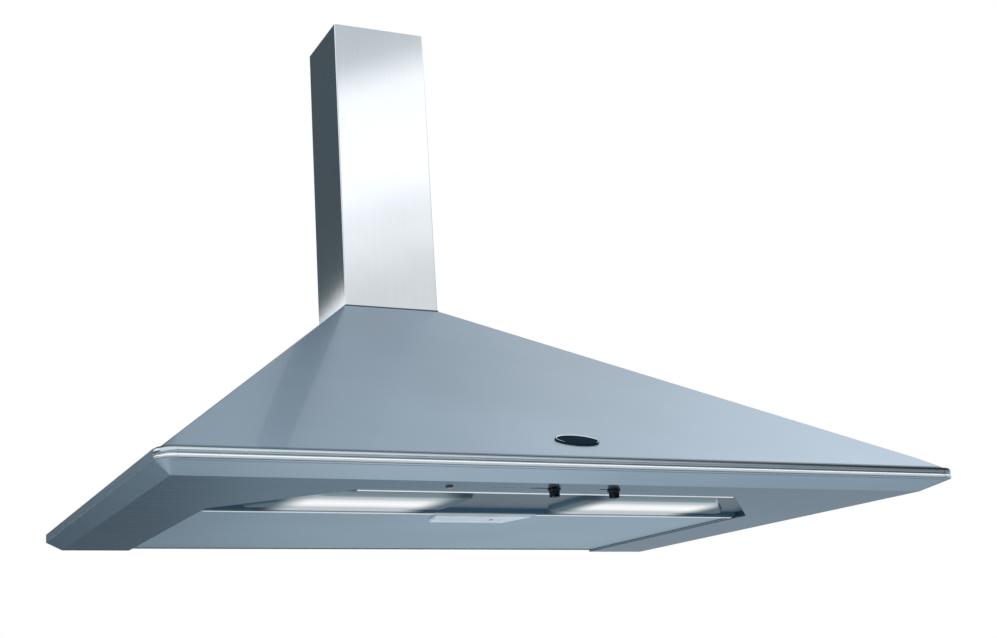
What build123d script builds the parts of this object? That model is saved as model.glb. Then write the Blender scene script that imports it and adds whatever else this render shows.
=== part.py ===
from build123d import *
import os
from math import atan2, degrees, hypot

os.makedirs("parts", exist_ok=True)

# A wall-hung chimney range hood. X runs along the wall, the wall is the plane y = 0 and the room is
# on the -Y side. Heights are measured from the flat underside border; each piece is moved down by
# HANG_RISE when it is written, so that the frame's origin lies between the two hanging slots.

# ---- driving dimensions, in millimetres ----
HOOD_WIDTH = 900.0
HOOD_DEPTH = 620.0
CANOPY_RISE = 318.0         # top of the canopy above the underside
CHIMNEY_RISE = 740.0        # top of the chimney above the underside
HANG_RISE = 225.0           # hanging slots above the underside
SHEET = 1.0                 # stainless sheet of the canopy, chimney and panel
FRAME_SHEET = 1.2           # sheet of the underside frame and the wall panel
FIT = 0.3                   # clearance between pieces that seat on each other
SHARP = 0.6                 # corner radius of a folded edge

# rail round the rim
RAIL_BOTTOM = 9.8
RAIL_HEIGHT = 10.6
RAIL_DEPTH = 4.5
RAIL_BEAD = 4.0             # height of the rounded bead along the rail's foot
RAIL_GROOVE = 1.7           # depth of the groove above it
RAIL_STEP = 0.5
RAIL_BAND_INSET = 0.8       # the flat band above the groove stands back from the bead
CAP_PROUD = 0.4             # the corner caps stand this far outside the rails
CORNER_RADIUS = 18.3
RAIL_END_GAP = 0.2

# canopy
CHIMNEY_WIDTH = 137.0
CHIMNEY_DEPTH = 108.0
CANOPY_SHOULDER = 4.0       # the canopy's top stands this far outside the chimney
HIP_BLEND = 16.0            # height over which the round corner runs out into the sharp hip
HIP_RADIUS = 2.0
SKIRT_HEIGHT = 10.0

# underside frame
BORDER_SIDE_INSET = 21.0    # the flat border starts this far inside the sides
BORDER_FRONT_INSET = 40.0   # and this far behind the rail's face
FASCIA_SIDE_INSET = 0.8
FASCIA_FRONT_INSET = 2.5
OPENING_WIDTH = 685.0       # opening between the side borders
LIP_FROM_FRONT = 100.5      # front lip of the lamp recess, behind the rail's face
OPENING_FRONT = 450.0       # width of the front lip, between the cut-off corners
CORNER_RUN = 140.5          # the cut-off corners start this far behind the lip
UPSTAND = 14.0              # folded wall round the opening
SEAT_WIDTH = 12.0           # flange on top of that wall

# suction panel and its latch
PANEL_RECESS = 2.5          # the panel lies this far above the border
PANEL_EDGE = 6.0            # upturned edge of the panel
SUCTION_GAP = 4.5           # air slot along the panel's front
PANEL_SIDE_GAP = 3.0        # and along its sides
PANEL_REAR = 14.0           # the panel's rear edge from the wall
RECESS_DEPTH = 165.5        # front lip to the panel's front edge
HEM_RADIUS = 1.5
HINGE_FROM_WALL = 9.0
HINGE_RISE = 9.0
HINGE_PIN_RADIUS = 2.5
RUNNING = 0.05              # radial clearance of a running fit
LATCH_FRONT_WIDTH = 122.0
LATCH_BACK_WIDTH = 96.0
LATCH_DEPTH = 56.0
LATCH_DROP = 3.2
LATCH_TRAVEL = 6.0
TONGUE_WIDTH = 18.0

# lamp recess
TRAY_RISE = 7.0             # the lamp tray's plate above the border
LENS_FROM_LIP = 53.5
LENS_DEPTH = 91.0
LENS_INNER = 66.0           # inner end of a lens from the middle of the hood
LENS_MARGIN = 30.0          # outer end of a lens from the cut-off corner
LENS_DROP = 5.0
LENS_WALL = 2.5
REFLECTOR_HEIGHT = 42.0
BULB_RADIUS = 13.0
BULB_LENGTH = 100.0
BULB_CAP_RADIUS = 7.0
BULB_RISE = 30.0
SOCKET_RADIUS = 11.5
SOCKET_LENGTH = 28.0
SOCKET_INNER = 34.0

# controls on the front border
CONTROL_FROM_FRONT = 70.0
FAN_KNOB_X = -18.5
FAN_TRAVEL = 24.0
LIGHT_KNOB_X = 52.0
LIGHT_TRAVEL = 14.0
KNOB_WIDTH = 9.5
KNOB_LENGTH = 11.0
KNOB_DROP = 8.8
NECK_LENGTH = 6.0
NECK_WIDTH = 3.4
PILOT_X = -137.0
PILOT_RADIUS = 4.0

# grease filters and their carrier
CARRIER_TOP = 29.0
FILTER_THICKNESS = 9.0
FILTER_LEDGE = 9.0          # ledge under the filters' edges
FILTER_BAR = 16.0           # bar between the two filters

# blower
BLOWER_HALF = 64.0          # half the inside width of the scroll
BLOWER_FROM_WALL = 112.0    # fan axis from the wall
BLOWER_AXIS_RISE = 150.0
SCROLL_RADIUS = 78.0        # scroll radius at its cut-off
SCROLL_STEP = 10.0          # growth of the scroll in each quarter turn
SCROLL_SHEET = 1.0
OUTLET_BELOW_TOP = 30.0     # blower outlet under the canopy's top
OUTLET_FLANGE = 7.0
INLET_RADIUS = 58.0
FAN_RADIUS = 70.0
FAN_INNER_RADIUS = 56.0
FAN_GAP = 5.0               # side gap between the fan wheel and the scroll
FAN_BLADES = 36
SHAFT_RADIUS = 4.0
MOTOR_RADIUS = 38.0

# outlet
DUCT_RADIUS = 49.6          # outside of the spigot, for a 100 mm duct
DUCT_WALL = 1.2
DUCT_LENGTH = 64.0          # blower outlet to the spigot's mouth
FLAP_FROM_OUTLET = 18.0
FLAP_PIN_RADIUS = 1.5
FLAP_SHEET = 1.0

# telescopic chimney
TELESCOPE_GAP = 0.6
TOP_STEP = 1.5              # the upper cover ends this far below the lower one
BRACKET_SHEET = 1.5
BRACKET_HEIGHT = 30.0

# foot of the chimney
FOOT_TAB_GAP = 3.4          # hole in the canopy's top round the spigot
FOOT_HEIGHT = 24.0
FOOT_SHEET = 1.2
FOOT_TAB = 12.0
FOOT_FRONT_INSET = 12.0     # front screws from the cover's front
FOOT_REAR_FROM_WALL = 29.0
GLAND_X = 55.0
GLAND_Y = -12.5
GLAND_RADIUS = 6.5
GLAND_BORE = 3.75

# brackets that carry the blower
BLOWER_BRACKET_SCREW_X = 80.0
BLOWER_BRACKET_WIDTH = 26.0
BLOWER_BRACKET_LOW = 96.0
BLOWER_BRACKET_HIGH = 200.0
BLOWER_BRACKET_DEPTH = 46.0

# wall fixings
SLOT_SPACING = 240.0
SLOT_WIDTH = 8.0
SLOT_LENGTH = 16.0
LOWER_HOLE_SPACING = 700.0
LOWER_HOLE_RADIUS = 3.2
LOWER_HOLE_RISE = 45.0
CEILING_HOLE_SPACING = 90.0
CEILING_HOLE_RADIUS = 3.0

# smaller details
EMBLEM_WIDTH = 50.0
EMBLEM_HEIGHT = 27.0
EMBLEM_THICK = 1.6
EMBLEM_RIM = 1.8
EMBLEM_UP_SLOPE = 50.0      # centre of the emblem from the foot of the slope
FOLD_RADIUS = 1.5
COVER_RETURN = 7.0
HINGE_WALL_GAP = 3.0
LATCH_NECK_WIDTH = 30.0
LATCH_NECK_FROM_FRONT = 14.0
LATCH_NECK_DEPTH = 10.0
LATCH_SCOOP_RADIUS = 9.0
LATCH_SCOOP_HALF = 34.0
TONGUE_THICK = 2.0
TONGUE_REACH = 1.6          # tongue's tip from the lamp tray
KEEPER_SHEET = 0.5
KEEPER_FOOT = 8.0
KEEPER_REACH = 3.0
LENS_CORNER = 9.0
LENS_FLANGE = 3.0
LENS_DRAFT = 12.0
TRIM_RADIUS = 1.3
TRIM_DROP = 1.0
REFLECTOR_SHEET = 0.8
BULB_CAP_LENGTH = 22.0
BULB_CAP_RIBS = 6
KNOB_BASE = 2.0
KNOB_TAB_DEPTH = 9.0
KNOB_DRAFT = 2.0
SHOE_WIDTH = 2.0
SHOE_HEIGHT = 2.0
SWITCH_END = 13.0
SWITCH_HALF = 8.0
SWITCH_HEIGHT = 12.0
SWITCH_TAGS = 4
TAG_WIDTH = 4.0
TAG_THICK = 0.4
TAG_HEIGHT = 6.0
COVER_END = 22.0
COVER_HALF = 17.0
COVER_HEIGHT = 25.0
COVER_WALL = 1.5
PILOT_HEAD = 1.6
CARRIER_PAST_PANEL = 7.5    # carrier's front wall in front of the panel's edge
CARRIER_FOOT = 7.0
FILTER_PLAY = 1.5
FILTER_RIM = 1.2
FILTER_FRAME_WIDTH = 14.0
FILTER_GROOVE = 5.0
CATCH_WIDTH = 24.0
CATCH_THICK = 1.6
CATCH_REACH = 0.5           # bolt's tip beyond the carrier's front wall
CATCH_TRAVEL = 4.0
CATCH_THUMB = 4.0
CATCH_THUMB_INSET = 0.8
MESH_PLEATS = 26
MESH_SHEET = 1.2
FAN_BLADE_THICK = 1.0
FAN_BLADE_LEAD = 9.0
HUB_LENGTH = 16.0
HUB_RADIUS = 11.0
MOTOR_START = 6.0           # inner end of the motor from the fan's centre disc
MOTOR_BELL = 9.0
MOTOR_FINS = 12
SHAFT_REACH = 40.0
MOTOR_ARM_ANGLES = (90, 210, 330)
MOTOR_SCREW_RADIUS = 64.0
GROMMET_RADIUS = 5.5
BLOWER_BRACKET_STAND = 0.7
BLOWER_BRACKET_PAD = 6.0
BLOWER_PAD_Y = -30.0
FLAP_LEDGE = 2.0
FLAP_GAP = 0.8
FLAP_KNUCKLE_WALL = 1.1
FLAP_KNUCKLE_SPAN = 80.0
LOUVRES = 6
LOUVRE_TOP = 60.0
LOUVRE_PITCH = 11.0
LOUVRE_LENGTH = 64.0
LOUVRE_HEIGHT = 4.5
BRACKET_BELOW_TOP = 8.0
BRACKET_TAB = 16.0
GLAND_DEPTH = 7.0
GLAND_HEAD = 1.8
JUNCTION_X = (-232.0, -168.0)
JUNCTION_Z = (92.0, 140.0)
JUNCTION_DEPTH = 32.0
JUNCTION_WALL = 2.0
CAPACITOR_X = 140.0
CAPACITOR_Z = 96.0
CAPACITOR_RADIUS = 15.0
CAPACITOR_LENGTH = 58.0
CLIP_SHEET = 0.8
CLIP_HEIGHT = 16.0

# screws
SCREW_RADIUS = 2.0
SCREW_HEAD_RADIUS = 3.8
SCREW_HEAD_HEIGHT = 2.4
SCREW_CLEARANCE = 0.2

# ---- sizes that follow ----
RAIL_TOP = RAIL_BOTTOM + RAIL_HEIGHT
RAIL_INSET = CAP_PROUD                              # outer face of the rails, inside the caps
RAIL_BACK_INSET = RAIL_INSET + RAIL_DEPTH
SKIRT_INSET = RAIL_BACK_INSET + FIT
CANOPY_FOOT = RAIL_TOP + FIT
CANOPY_TOP_HALF = CHIMNEY_WIDTH / 2 + CANOPY_SHOULDER
CANOPY_TOP_FRONT = CHIMNEY_DEPTH + CANOPY_SHOULDER
RIM_INSET = SKIRT_INSET + SHEET + FIT               # outer face of the frame's rim
FRAME_TOP = RAIL_BOTTOM - FIT
OPENING_HALF = OPENING_WIDTH / 2
OPENING_DEPTH = HOOD_DEPTH - LIP_FROM_FRONT         # wall to the front lip
CORNER_START = OPENING_DEPTH - CORNER_RUN           # wall to the cut-off corners
PANEL_FRONT = OPENING_DEPTH - RECESS_DEPTH
CARRIER_FRONT = PANEL_FRONT + CARRIER_PAST_PANEL
LENS_FRONT = OPENING_DEPTH - LENS_FROM_LIP
LENS_BACK = LENS_FRONT - LENS_DEPTH
OUTLET_RISE = CANOPY_RISE - OUTLET_BELOW_TOP
FLAP_RISE = OUTLET_RISE + FLAP_FROM_OUTLET
DUCT_TOP = OUTLET_RISE + DUCT_LENGTH
CATCH_LENGTH = FILTER_FRAME_WIDTH - FILTER_GROOVE - CATCH_TRAVEL
PANEL_HALF = OPENING_HALF - PANEL_SIDE_GAP
SEAT_TOP = UPSTAND + FIT
TRAY_BACK = PANEL_FRONT + SUCTION_GAP
TRAY_TOP = TRAY_RISE + SHEET
DUCT_Y = -CHIMNEY_DEPTH / 2
SCREW_HOLE = SCREW_RADIUS + SCREW_CLEARANCE
FAN_HALF = BLOWER_HALF - FAN_GAP
BLOWER_Y = -BLOWER_FROM_WALL
WALL_FACE = -FRAME_SHEET                            # front of the wall panel
CONTROL_Y = CONTROL_FROM_FRONT - HOOD_DEPTH
LAMP_Y = -(LENS_FRONT + LENS_BACK) / 2
FOOT_TOP = CANOPY_RISE + FIT + FOOT_HEIGHT
SIDE_PLATE_FACE = BLOWER_HALF + SCROLL_SHEET        # outer face of the scroll's side plates


def foot_screws():
    """Places of the four screws that hold the chimney's foot bracket."""
    front_x = CHIMNEY_WIDTH / 2 - FOOT_FRONT_INSET
    front_y = FOOT_FRONT_INSET - CHIMNEY_DEPTH
    rear_x = CHIMNEY_WIDTH / 2 - SHEET - FIT - FOOT_SHEET - FOOT_TAB / 2
    return [(side * x, y) for side in (-1, 1)
            for x, y in ((front_x, front_y), (rear_x, -FOOT_REAR_FROM_WALL))]


def blower_bracket_heights():
    """Heights of the two screws in each blower bracket."""
    inset = BLOWER_BRACKET_WIDTH / 2
    return BLOWER_BRACKET_LOW + inset, BLOWER_BRACKET_HIGH - inset


def tray_screws():
    """Places of the screws that hold the lamp tray to the frame."""
    seat = SEAT_WIDTH / 2
    front_x, front_y = OPENING_FRONT / 3, -OPENING_DEPTH - seat
    run, rise = OPENING_HALF - OPENING_FRONT / 2, OPENING_DEPTH - CORNER_START
    slant = hypot(run, rise)
    corner_x = (OPENING_HALF + OPENING_FRONT / 2) / 2 + seat * rise / slant
    corner_y = -(OPENING_DEPTH + CORNER_START) / 2 - seat * run / slant
    return [(side * x, y) for side in (-1, 1) for x, y in ((front_x, front_y), (corner_x, corner_y))]


def carrier_screws():
    """Places of the screws that hold the filter carrier to the frame."""
    x = OPENING_HALF + SEAT_WIDTH / 2
    return [(side * x, -from_wall) for side in (-1, 1)
            for from_wall in (CORNER_START / 5, CORNER_START * 4 / 5)]


def knob_slot(knob_x, travel, heights):
    """Slot in the border along which a slide switch's neck travels."""
    ends = (knob_x - travel - NECK_LENGTH / 2 - FIT, knob_x + NECK_LENGTH / 2 + FIT)
    half = NECK_WIDTH / 2 + FIT
    return block(ends, (CONTROL_Y - half, CONTROL_Y + half), heights)


def save(node, shape):
    """Write one sub-part, measured from the hanging slots."""
    export_step(Pos(0, 0, -HANG_RISE) * shape, f"parts/{node}.step")


def block(x, y, z):
    """A block given by its low and high ends along each axis."""
    sides = [high - low for low, high in (x, y, z)]
    middle = [(low + high) / 2 for low, high in (x, y, z)]
    return Pos(*middle) * Box(*sides)


def rod_x(radius, ends, y, z):
    """A round bar along X."""
    return Pos(sum(ends) / 2, y, z) * Rot(0, 90, 0) * Cylinder(radius, ends[1] - ends[0])


def rod_y(radius, ends, x, z):
    """A round bar along Y."""
    return Pos(x, sum(ends) / 2, z) * Rot(90, 0, 0) * Cylinder(radius, ends[1] - ends[0])


def rod_z(radius, ends, x, y):
    """A round bar along Z."""
    return Pos(x, y, sum(ends) / 2) * Cylinder(radius, ends[1] - ends[0])


def mirrored(shape):
    """The same piece on the other side of the hood."""
    return mirror(shape, Plane.YZ)


def group(pieces):
    """Separate solids that share one node."""
    return Compound(children=list(pieces))


def both_sides(shape):
    """A piece and its mirror image, as separate solids."""
    return group([shape, mirrored(shape)])


def screw(length):
    """A pan-head screw with its head's seat at the origin, shank along -Z."""
    head = Pos(0, 0, SCREW_HEAD_HEIGHT / 2) * Cylinder(SCREW_HEAD_RADIUS, SCREW_HEAD_HEIGHT)
    head = fillet(head.edges().group_by(Axis.Z)[-1], SCREW_HEAD_HEIGHT / 2.5)
    shank = Pos(0, 0, -length / 2) * Cylinder(SCREW_RADIUS, length)
    driver = Pos(0, 0, SCREW_HEAD_HEIGHT) * Box(SCREW_HEAD_RADIUS, SCREW_RADIUS / 2, SCREW_HEAD_HEIGHT)
    return head - driver + shank


def plan(half, front, radius, height, back=0.0):
    """Plan outline: square towards the wall, rounded at the two front corners."""
    outline = Pos(0, (back - front) / 2, height) * Rectangle(2 * half, front + back)
    return fillet(outline.vertices().group_by(Axis.Y)[0], radius)


def rim_plan(inset, height, back=0.0, radius=None):
    """Plan outline at a steady distance inside the rim."""
    if radius is None:
        radius = CORNER_RADIUS - inset
    return plan(HOOD_WIDTH / 2 - inset, HOOD_DEPTH - inset, radius, height, back)


def prism(outline, height):
    """A plan outline raised straight up."""
    return extrude(outline, amount=height, dir=(0, 0, 1))


def canopy_plan(height, skin=0.0, radius=HIP_RADIUS, back=0.0):
    """Plan outline of the sloping canopy at one height, `skin` inside its outer face."""
    rise = CANOPY_RISE - CANOPY_FOOT
    share = (height - CANOPY_FOOT) / rise
    foot_half, foot_front = HOOD_WIDTH / 2 - SKIRT_INSET, HOOD_DEPTH - SKIRT_INSET
    side_run, front_run = foot_half - CANOPY_TOP_HALF, foot_front - CANOPY_TOP_FRONT
    half = foot_half - share * side_run - skin * hypot(1, side_run / rise)
    front = foot_front - share * front_run - skin * hypot(1, front_run / rise)
    return plan(half, front, radius, height, back)


def canopy_half(height, skin=0.0):
    """Half the canopy's width at one height."""
    return canopy_plan(height, skin).bounding_box().max.X


def opening_half(from_wall):
    """Half the width of the underside opening, at a distance from the wall."""
    cut = (OPENING_HALF - OPENING_FRONT / 2) / (OPENING_DEPTH - CORNER_START)
    return min(OPENING_HALF, OPENING_FRONT / 2 + (OPENING_DEPTH - from_wall) * cut)


def opening_block(grow, low, high, front=None, back=0.0):
    """The underside opening as a prism, grown outwards, between two distances from the wall."""
    past_wall = OPENING_DEPTH
    corners = [(-OPENING_HALF, past_wall), (-OPENING_HALF, -CORNER_START),
               (-OPENING_FRONT / 2, -OPENING_DEPTH)]
    corners += [(-x, y) for x, y in reversed(corners)]
    outline = make_face(Polyline(*corners, close=True))
    if grow:
        outline = offset(outline, grow, kind=Kind.INTERSECTION)
    front = HOOD_DEPTH if front is None else front
    solid = prism(Pos(0, 0, low) * outline, high - low)
    return solid & block((-HOOD_WIDTH, HOOD_WIDTH), (-front, -back), (low, high))


# ---- canopy ----

def make_canopy():
    """Folded stainless pyramid, open at the top, with a vertical skirt behind the rail."""
    blend = CANOPY_FOOT + HIP_BLEND
    foot_radius = CORNER_RADIUS - SKIRT_INSET
    rim = CANOPY_RISE - SHEET - FIT
    outer = loft([canopy_plan(CANOPY_FOOT, radius=foot_radius), canopy_plan(blend),
                  canopy_plan(rim)], ruled=True)
    inner = loft([canopy_plan(CANOPY_FOOT - FIT, SHEET, foot_radius - SHEET, SHEET),
                  canopy_plan(blend, SHEET, HIP_RADIUS - SHEET / 2, SHEET),
                  canopy_plan(rim + FIT, SHEET, HIP_RADIUS - SHEET / 2, SHEET)], ruled=True)
    skirt_foot = CANOPY_FOOT - SKIRT_HEIGHT
    skirt = prism(rim_plan(SKIRT_INSET, skirt_foot), SKIRT_HEIGHT)
    skirt -= prism(rim_plan(SKIRT_INSET + SHEET, skirt_foot, SHEET), SKIRT_HEIGHT)
    return (outer - inner) + skirt


def make_canopy_top():
    """Flat plate across the canopy's top, with holes for the spigot, the supply and the foot screws."""
    under = CANOPY_RISE - SHEET
    plate = prism(canopy_plan(CANOPY_RISE), SHEET)
    plate = Pos(0, 0, -SHEET) * plate
    through = (under - SHEET, CANOPY_RISE + SHEET)
    plate -= rod_z(DUCT_RADIUS + FOOT_TAB_GAP, through, 0, DUCT_Y)
    plate -= rod_z(GLAND_RADIUS + FIT, through, GLAND_X, GLAND_Y)
    for x, y in foot_screws():
        plate -= rod_z(SCREW_HOLE, through, x, y)
    return plate


# ---- wall panel ----

def make_wall_panel():
    """Flat plate that closes the back, with hanging slots and a flange for the filter carrier."""
    low_half = HOOD_WIDTH / 2 - RIM_INSET - FRAME_SHEET - FIT
    top = CANOPY_RISE - SHEET - FIT
    shoulder = CANOPY_FOOT
    skin = SHEET + FIT
    outline = make_face(Polyline(
        (-low_half, SEAT_TOP), (low_half, SEAT_TOP), (low_half, shoulder),
        (canopy_half(shoulder, skin) - SHEET, shoulder), (canopy_half(top, skin), top),
        (-canopy_half(top, skin), top), (SHEET - canopy_half(shoulder, skin), shoulder),
        (-low_half, shoulder), close=True))
    sheet = extrude(Plane.XZ * outline, amount=FRAME_SHEET)
    tail = OPENING_HALF - FIT
    sheet += block((-tail, tail), (WALL_FACE, 0), (PANEL_RECESS, SEAT_TOP))
    ledge = PANEL_HALF - 2 * SEAT_WIDTH
    sheet += block((-ledge, ledge), (-SEAT_WIDTH, WALL_FACE), (UPSTAND - FRAME_SHEET, UPSTAND))
    through = (2 * WALL_FACE, -WALL_FACE)
    slot = extrude(Plane.XZ * SlotOverall(SLOT_LENGTH, SLOT_WIDTH), amount=4 * FRAME_SHEET, both=True)
    for side in (-1, 1):
        sheet -= Pos(side * SLOT_SPACING / 2, 0, HANG_RISE) * slot
        sheet -= rod_y(LOWER_HOLE_RADIUS, through, side * LOWER_HOLE_SPACING / 2, LOWER_HOLE_RISE)
        for z in blower_bracket_heights():
            sheet -= rod_y(SCREW_HOLE, through, side * BLOWER_BRACKET_SCREW_X, z)
    return sheet


# ---- underside frame ----

def fascia_section(height, inward=0.0, radius=SHARP):
    """Plan of the sloping fascia at one height, measured across the sheet from its outer face."""
    side_slope = (BORDER_SIDE_INSET - FASCIA_SIDE_INSET) / FRAME_TOP
    front_slope = (BORDER_FRONT_INSET - FASCIA_FRONT_INSET) / FRAME_TOP
    side = BORDER_SIDE_INSET - side_slope * height + inward * hypot(1, side_slope)
    front = BORDER_FRONT_INSET - front_slope * height + inward * hypot(1, front_slope)
    back = FRAME_SHEET if inward else 0
    return plan(HOOD_WIDTH / 2 - side, HOOD_DEPTH - front, radius, height, back)


def make_base_frame():
    """Border, sloping fascia, rim behind the rail and a folded wall round the opening."""
    top_radius = CORNER_RADIUS - FASCIA_FRONT_INSET
    frame = loft([fascia_section(0), fascia_section(FRAME_TOP, 0, top_radius)], ruled=True)
    rim_foot = FRAME_TOP - FRAME_SHEET
    frame -= loft([fascia_section(FRAME_SHEET, FRAME_SHEET),
                   fascia_section(rim_foot, FRAME_SHEET, SHARP)], ruled=True)
    rim_inner = RIM_INSET + FRAME_SHEET
    frame -= prism(rim_plan(2 * RIM_INSET, rim_foot - FIT, FRAME_SHEET), FRAME_TOP)
    rim = prism(rim_plan(RIM_INSET, rim_foot), RAIL_TOP - rim_foot)
    rim -= prism(rim_plan(rim_inner, rim_foot, FRAME_SHEET), RAIL_TOP - rim_foot)
    frame += rim
    wall = opening_block(FRAME_SHEET, 0, UPSTAND)
    seat = opening_block(SEAT_WIDTH, UPSTAND - FRAME_SHEET, UPSTAND)
    frame += wall + seat
    frame -= opening_block(0, -FRAME_SHEET, UPSTAND + FRAME_SHEET, back=-FRAME_SHEET)
    for knob_x, travel in ((FAN_KNOB_X, FAN_TRAVEL), (LIGHT_KNOB_X, LIGHT_TRAVEL)):
        frame -= knob_slot(knob_x, travel, (-FRAME_SHEET, 2 * FRAME_SHEET))
    frame -= rod_z(PILOT_RADIUS - SHEET + FIT, (-FRAME_SHEET, 2 * FRAME_SHEET), PILOT_X, CONTROL_Y)
    for x, y in tray_screws() + carrier_screws():
        frame -= rod_z(SCREW_HOLE, (UPSTAND - 2 * FRAME_SHEET, UPSTAND + FRAME_SHEET), x, y)
    return frame


# ---- rail and corner caps ----

def rail_profile(proud=0.0):
    """Section of the rail: x is the distance outwards from its back, y the height."""
    depth = RAIL_DEPTH + proud
    low, high = RAIL_BOTTOM - proud / 2, RAIL_TOP
    groove = low + RAIL_BEAD
    waist = depth - RAIL_GROOVE
    bead = ThreePointArc((waist, low), (depth, (low + groove) / 2), (waist, groove))
    step = Line(bead @ 1, (waist, groove + RAIL_STEP))
    lip = Line(step @ 1, (depth - RAIL_BAND_INSET, groove + 2 * RAIL_STEP))
    band = ThreePointArc(lip @ 1, (depth - RAIL_BAND_INSET / 2, (groove + high) / 2), (waist, high))
    back = Polyline(band @ 1, (0, high), (0, low), bead @ 0)
    return make_face([bead, step, lip, band, back])


def make_front_rail():
    """Straight length of rail between the corner caps."""
    half = HOOD_WIDTH / 2 - CORNER_RADIUS - RAIL_END_GAP
    section = Plane(origin=(-half, RAIL_BACK_INSET - HOOD_DEPTH, 0), x_dir=(0, -1, 0),
                    z_dir=(-1, 0, 0)) * rail_profile()
    return extrude(section, amount=2 * half, dir=(1, 0, 0))


def make_right_rail():
    """Plain strip along the right side, in line with the rail and cut square at the wall."""
    length = HOOD_DEPTH - CORNER_RADIUS - RAIL_END_GAP
    ends = (HOOD_WIDTH / 2 - RAIL_BACK_INSET, HOOD_WIDTH / 2 - RAIL_INSET)
    strip = block(ends, (-length, 0), (RAIL_BOTTOM, RAIL_TOP))
    outer_edges = strip.edges().filter_by(Axis.Y).group_by(Axis.X)[-1]
    return fillet(outer_edges, SHARP)


def make_right_cap():
    """Quarter turn of the rail round the front corner, slightly proud of it."""
    radius = CORNER_RADIUS - RAIL_BACK_INSET
    centre = (HOOD_WIDTH / 2 - CORNER_RADIUS, CORNER_RADIUS - HOOD_DEPTH, 0)
    section = Plane(origin=centre, x_dir=(1, 0, 0), z_dir=(0, -1, 0)) * Pos(radius, 0) * \
        rail_profile(CAP_PROUD)
    axis = Axis(centre, (0, 0, -1))
    return revolve(section, axis=axis, revolution_arc=90)


# ---- emblem place ----

def make_emblem():
    """Bare oval plate with a raised rim, lying on the front slope."""
    rise = CANOPY_RISE - CANOPY_FOOT
    run = HOOD_DEPTH - SKIRT_INSET - CANOPY_TOP_FRONT
    slope = degrees(atan2(rise, run))
    foot = (0, SKIRT_INSET - HOOD_DEPTH, CANOPY_FOOT)
    face = Pos(*foot) * Rot(slope, 0, 0) * Pos(0, EMBLEM_UP_SLOPE, FIT / 3)
    plate = extrude(Ellipse(EMBLEM_WIDTH / 2, EMBLEM_HEIGHT / 2), amount=EMBLEM_THICK)
    field = Ellipse(EMBLEM_WIDTH / 2 - EMBLEM_RIM, EMBLEM_HEIGHT / 2 - EMBLEM_RIM)
    plate -= Pos(0, 0, EMBLEM_THICK - EMBLEM_THICK / 3) * extrude(field, amount=EMBLEM_THICK)
    return face * plate


# ---- suction panel ----

def make_panel():
    """Flat pan that fills the opening, with a rolled front hem and an ear at each rear corner."""
    low, high = PANEL_RECESS, PANEL_RECESS + PANEL_EDGE
    pan = block((-PANEL_HALF, PANEL_HALF), (-PANEL_FRONT, -PANEL_REAR), (low, high))
    inside = PANEL_HALF - SHEET
    pan -= block((-inside, inside), (SHEET - PANEL_FRONT, -PANEL_REAR - SHEET), (low + SHEET, high + SHEET))
    hem = rod_x(HEM_RADIUS, (-PANEL_HALF, PANEL_HALF), HEM_RADIUS - PANEL_FRONT, PANEL_RECESS)
    pan += hem
    ear_radius = HINGE_PIN_RADIUS + SHEET + FIT
    for side in (-1, 1):
        ends = sorted((side * PANEL_HALF, side * inside))
        ear = rod_x(ear_radius, ends, -HINGE_FROM_WALL, HINGE_RISE)
        ear += block(ends, (-PANEL_REAR - SHEET, -HINGE_FROM_WALL), (low, HINGE_RISE + ear_radius / 2))
        pan += ear - rod_x(HINGE_PIN_RADIUS, ends, -HINGE_FROM_WALL, HINGE_RISE)
    slot = LATCH_NECK_WIDTH / 2 + FIT
    neck_front, neck_back = latch_neck_span()
    pan -= block((-slot, slot), (neck_front - FIT, neck_back + LATCH_TRAVEL + FIT), (0, low + 2 * SHEET))
    tongue = TONGUE_WIDTH / 2 + FIT
    pan -= block((-tongue, tongue), (-PANEL_FRONT - SHEET, 2 * HEM_RADIUS + FIT - PANEL_FRONT),
                 (low + SHEET, high + SHEET))
    return pan


def make_panel_pin():
    """Pivot pin pressed into the panel's right ear."""
    return rod_x(HINGE_PIN_RADIUS, (PANEL_HALF - SHEET, OPENING_HALF - FIT), -HINGE_FROM_WALL, HINGE_RISE)


def make_hinge_bracket():
    """Block on the right wall of the opening that takes the panel's pivot pin."""
    ends = (PANEL_HALF + FIT + SHEET / 2, OPENING_HALF)
    high = UPSTAND - SHEET
    bracket = block(ends, (-2 * HINGE_FROM_WALL + HINGE_WALL_GAP, -HINGE_WALL_GAP), (PANEL_RECESS, high))
    return bracket - rod_x(HINGE_PIN_RADIUS + RUNNING, ends, -HINGE_FROM_WALL, HINGE_RISE)


# ---- latch ----

def latch_neck_span():
    """Front and back of the latch's neck at rest."""
    front = LATCH_NECK_FROM_FRONT - PANEL_FRONT
    return front, front + LATCH_NECK_DEPTH


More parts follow.
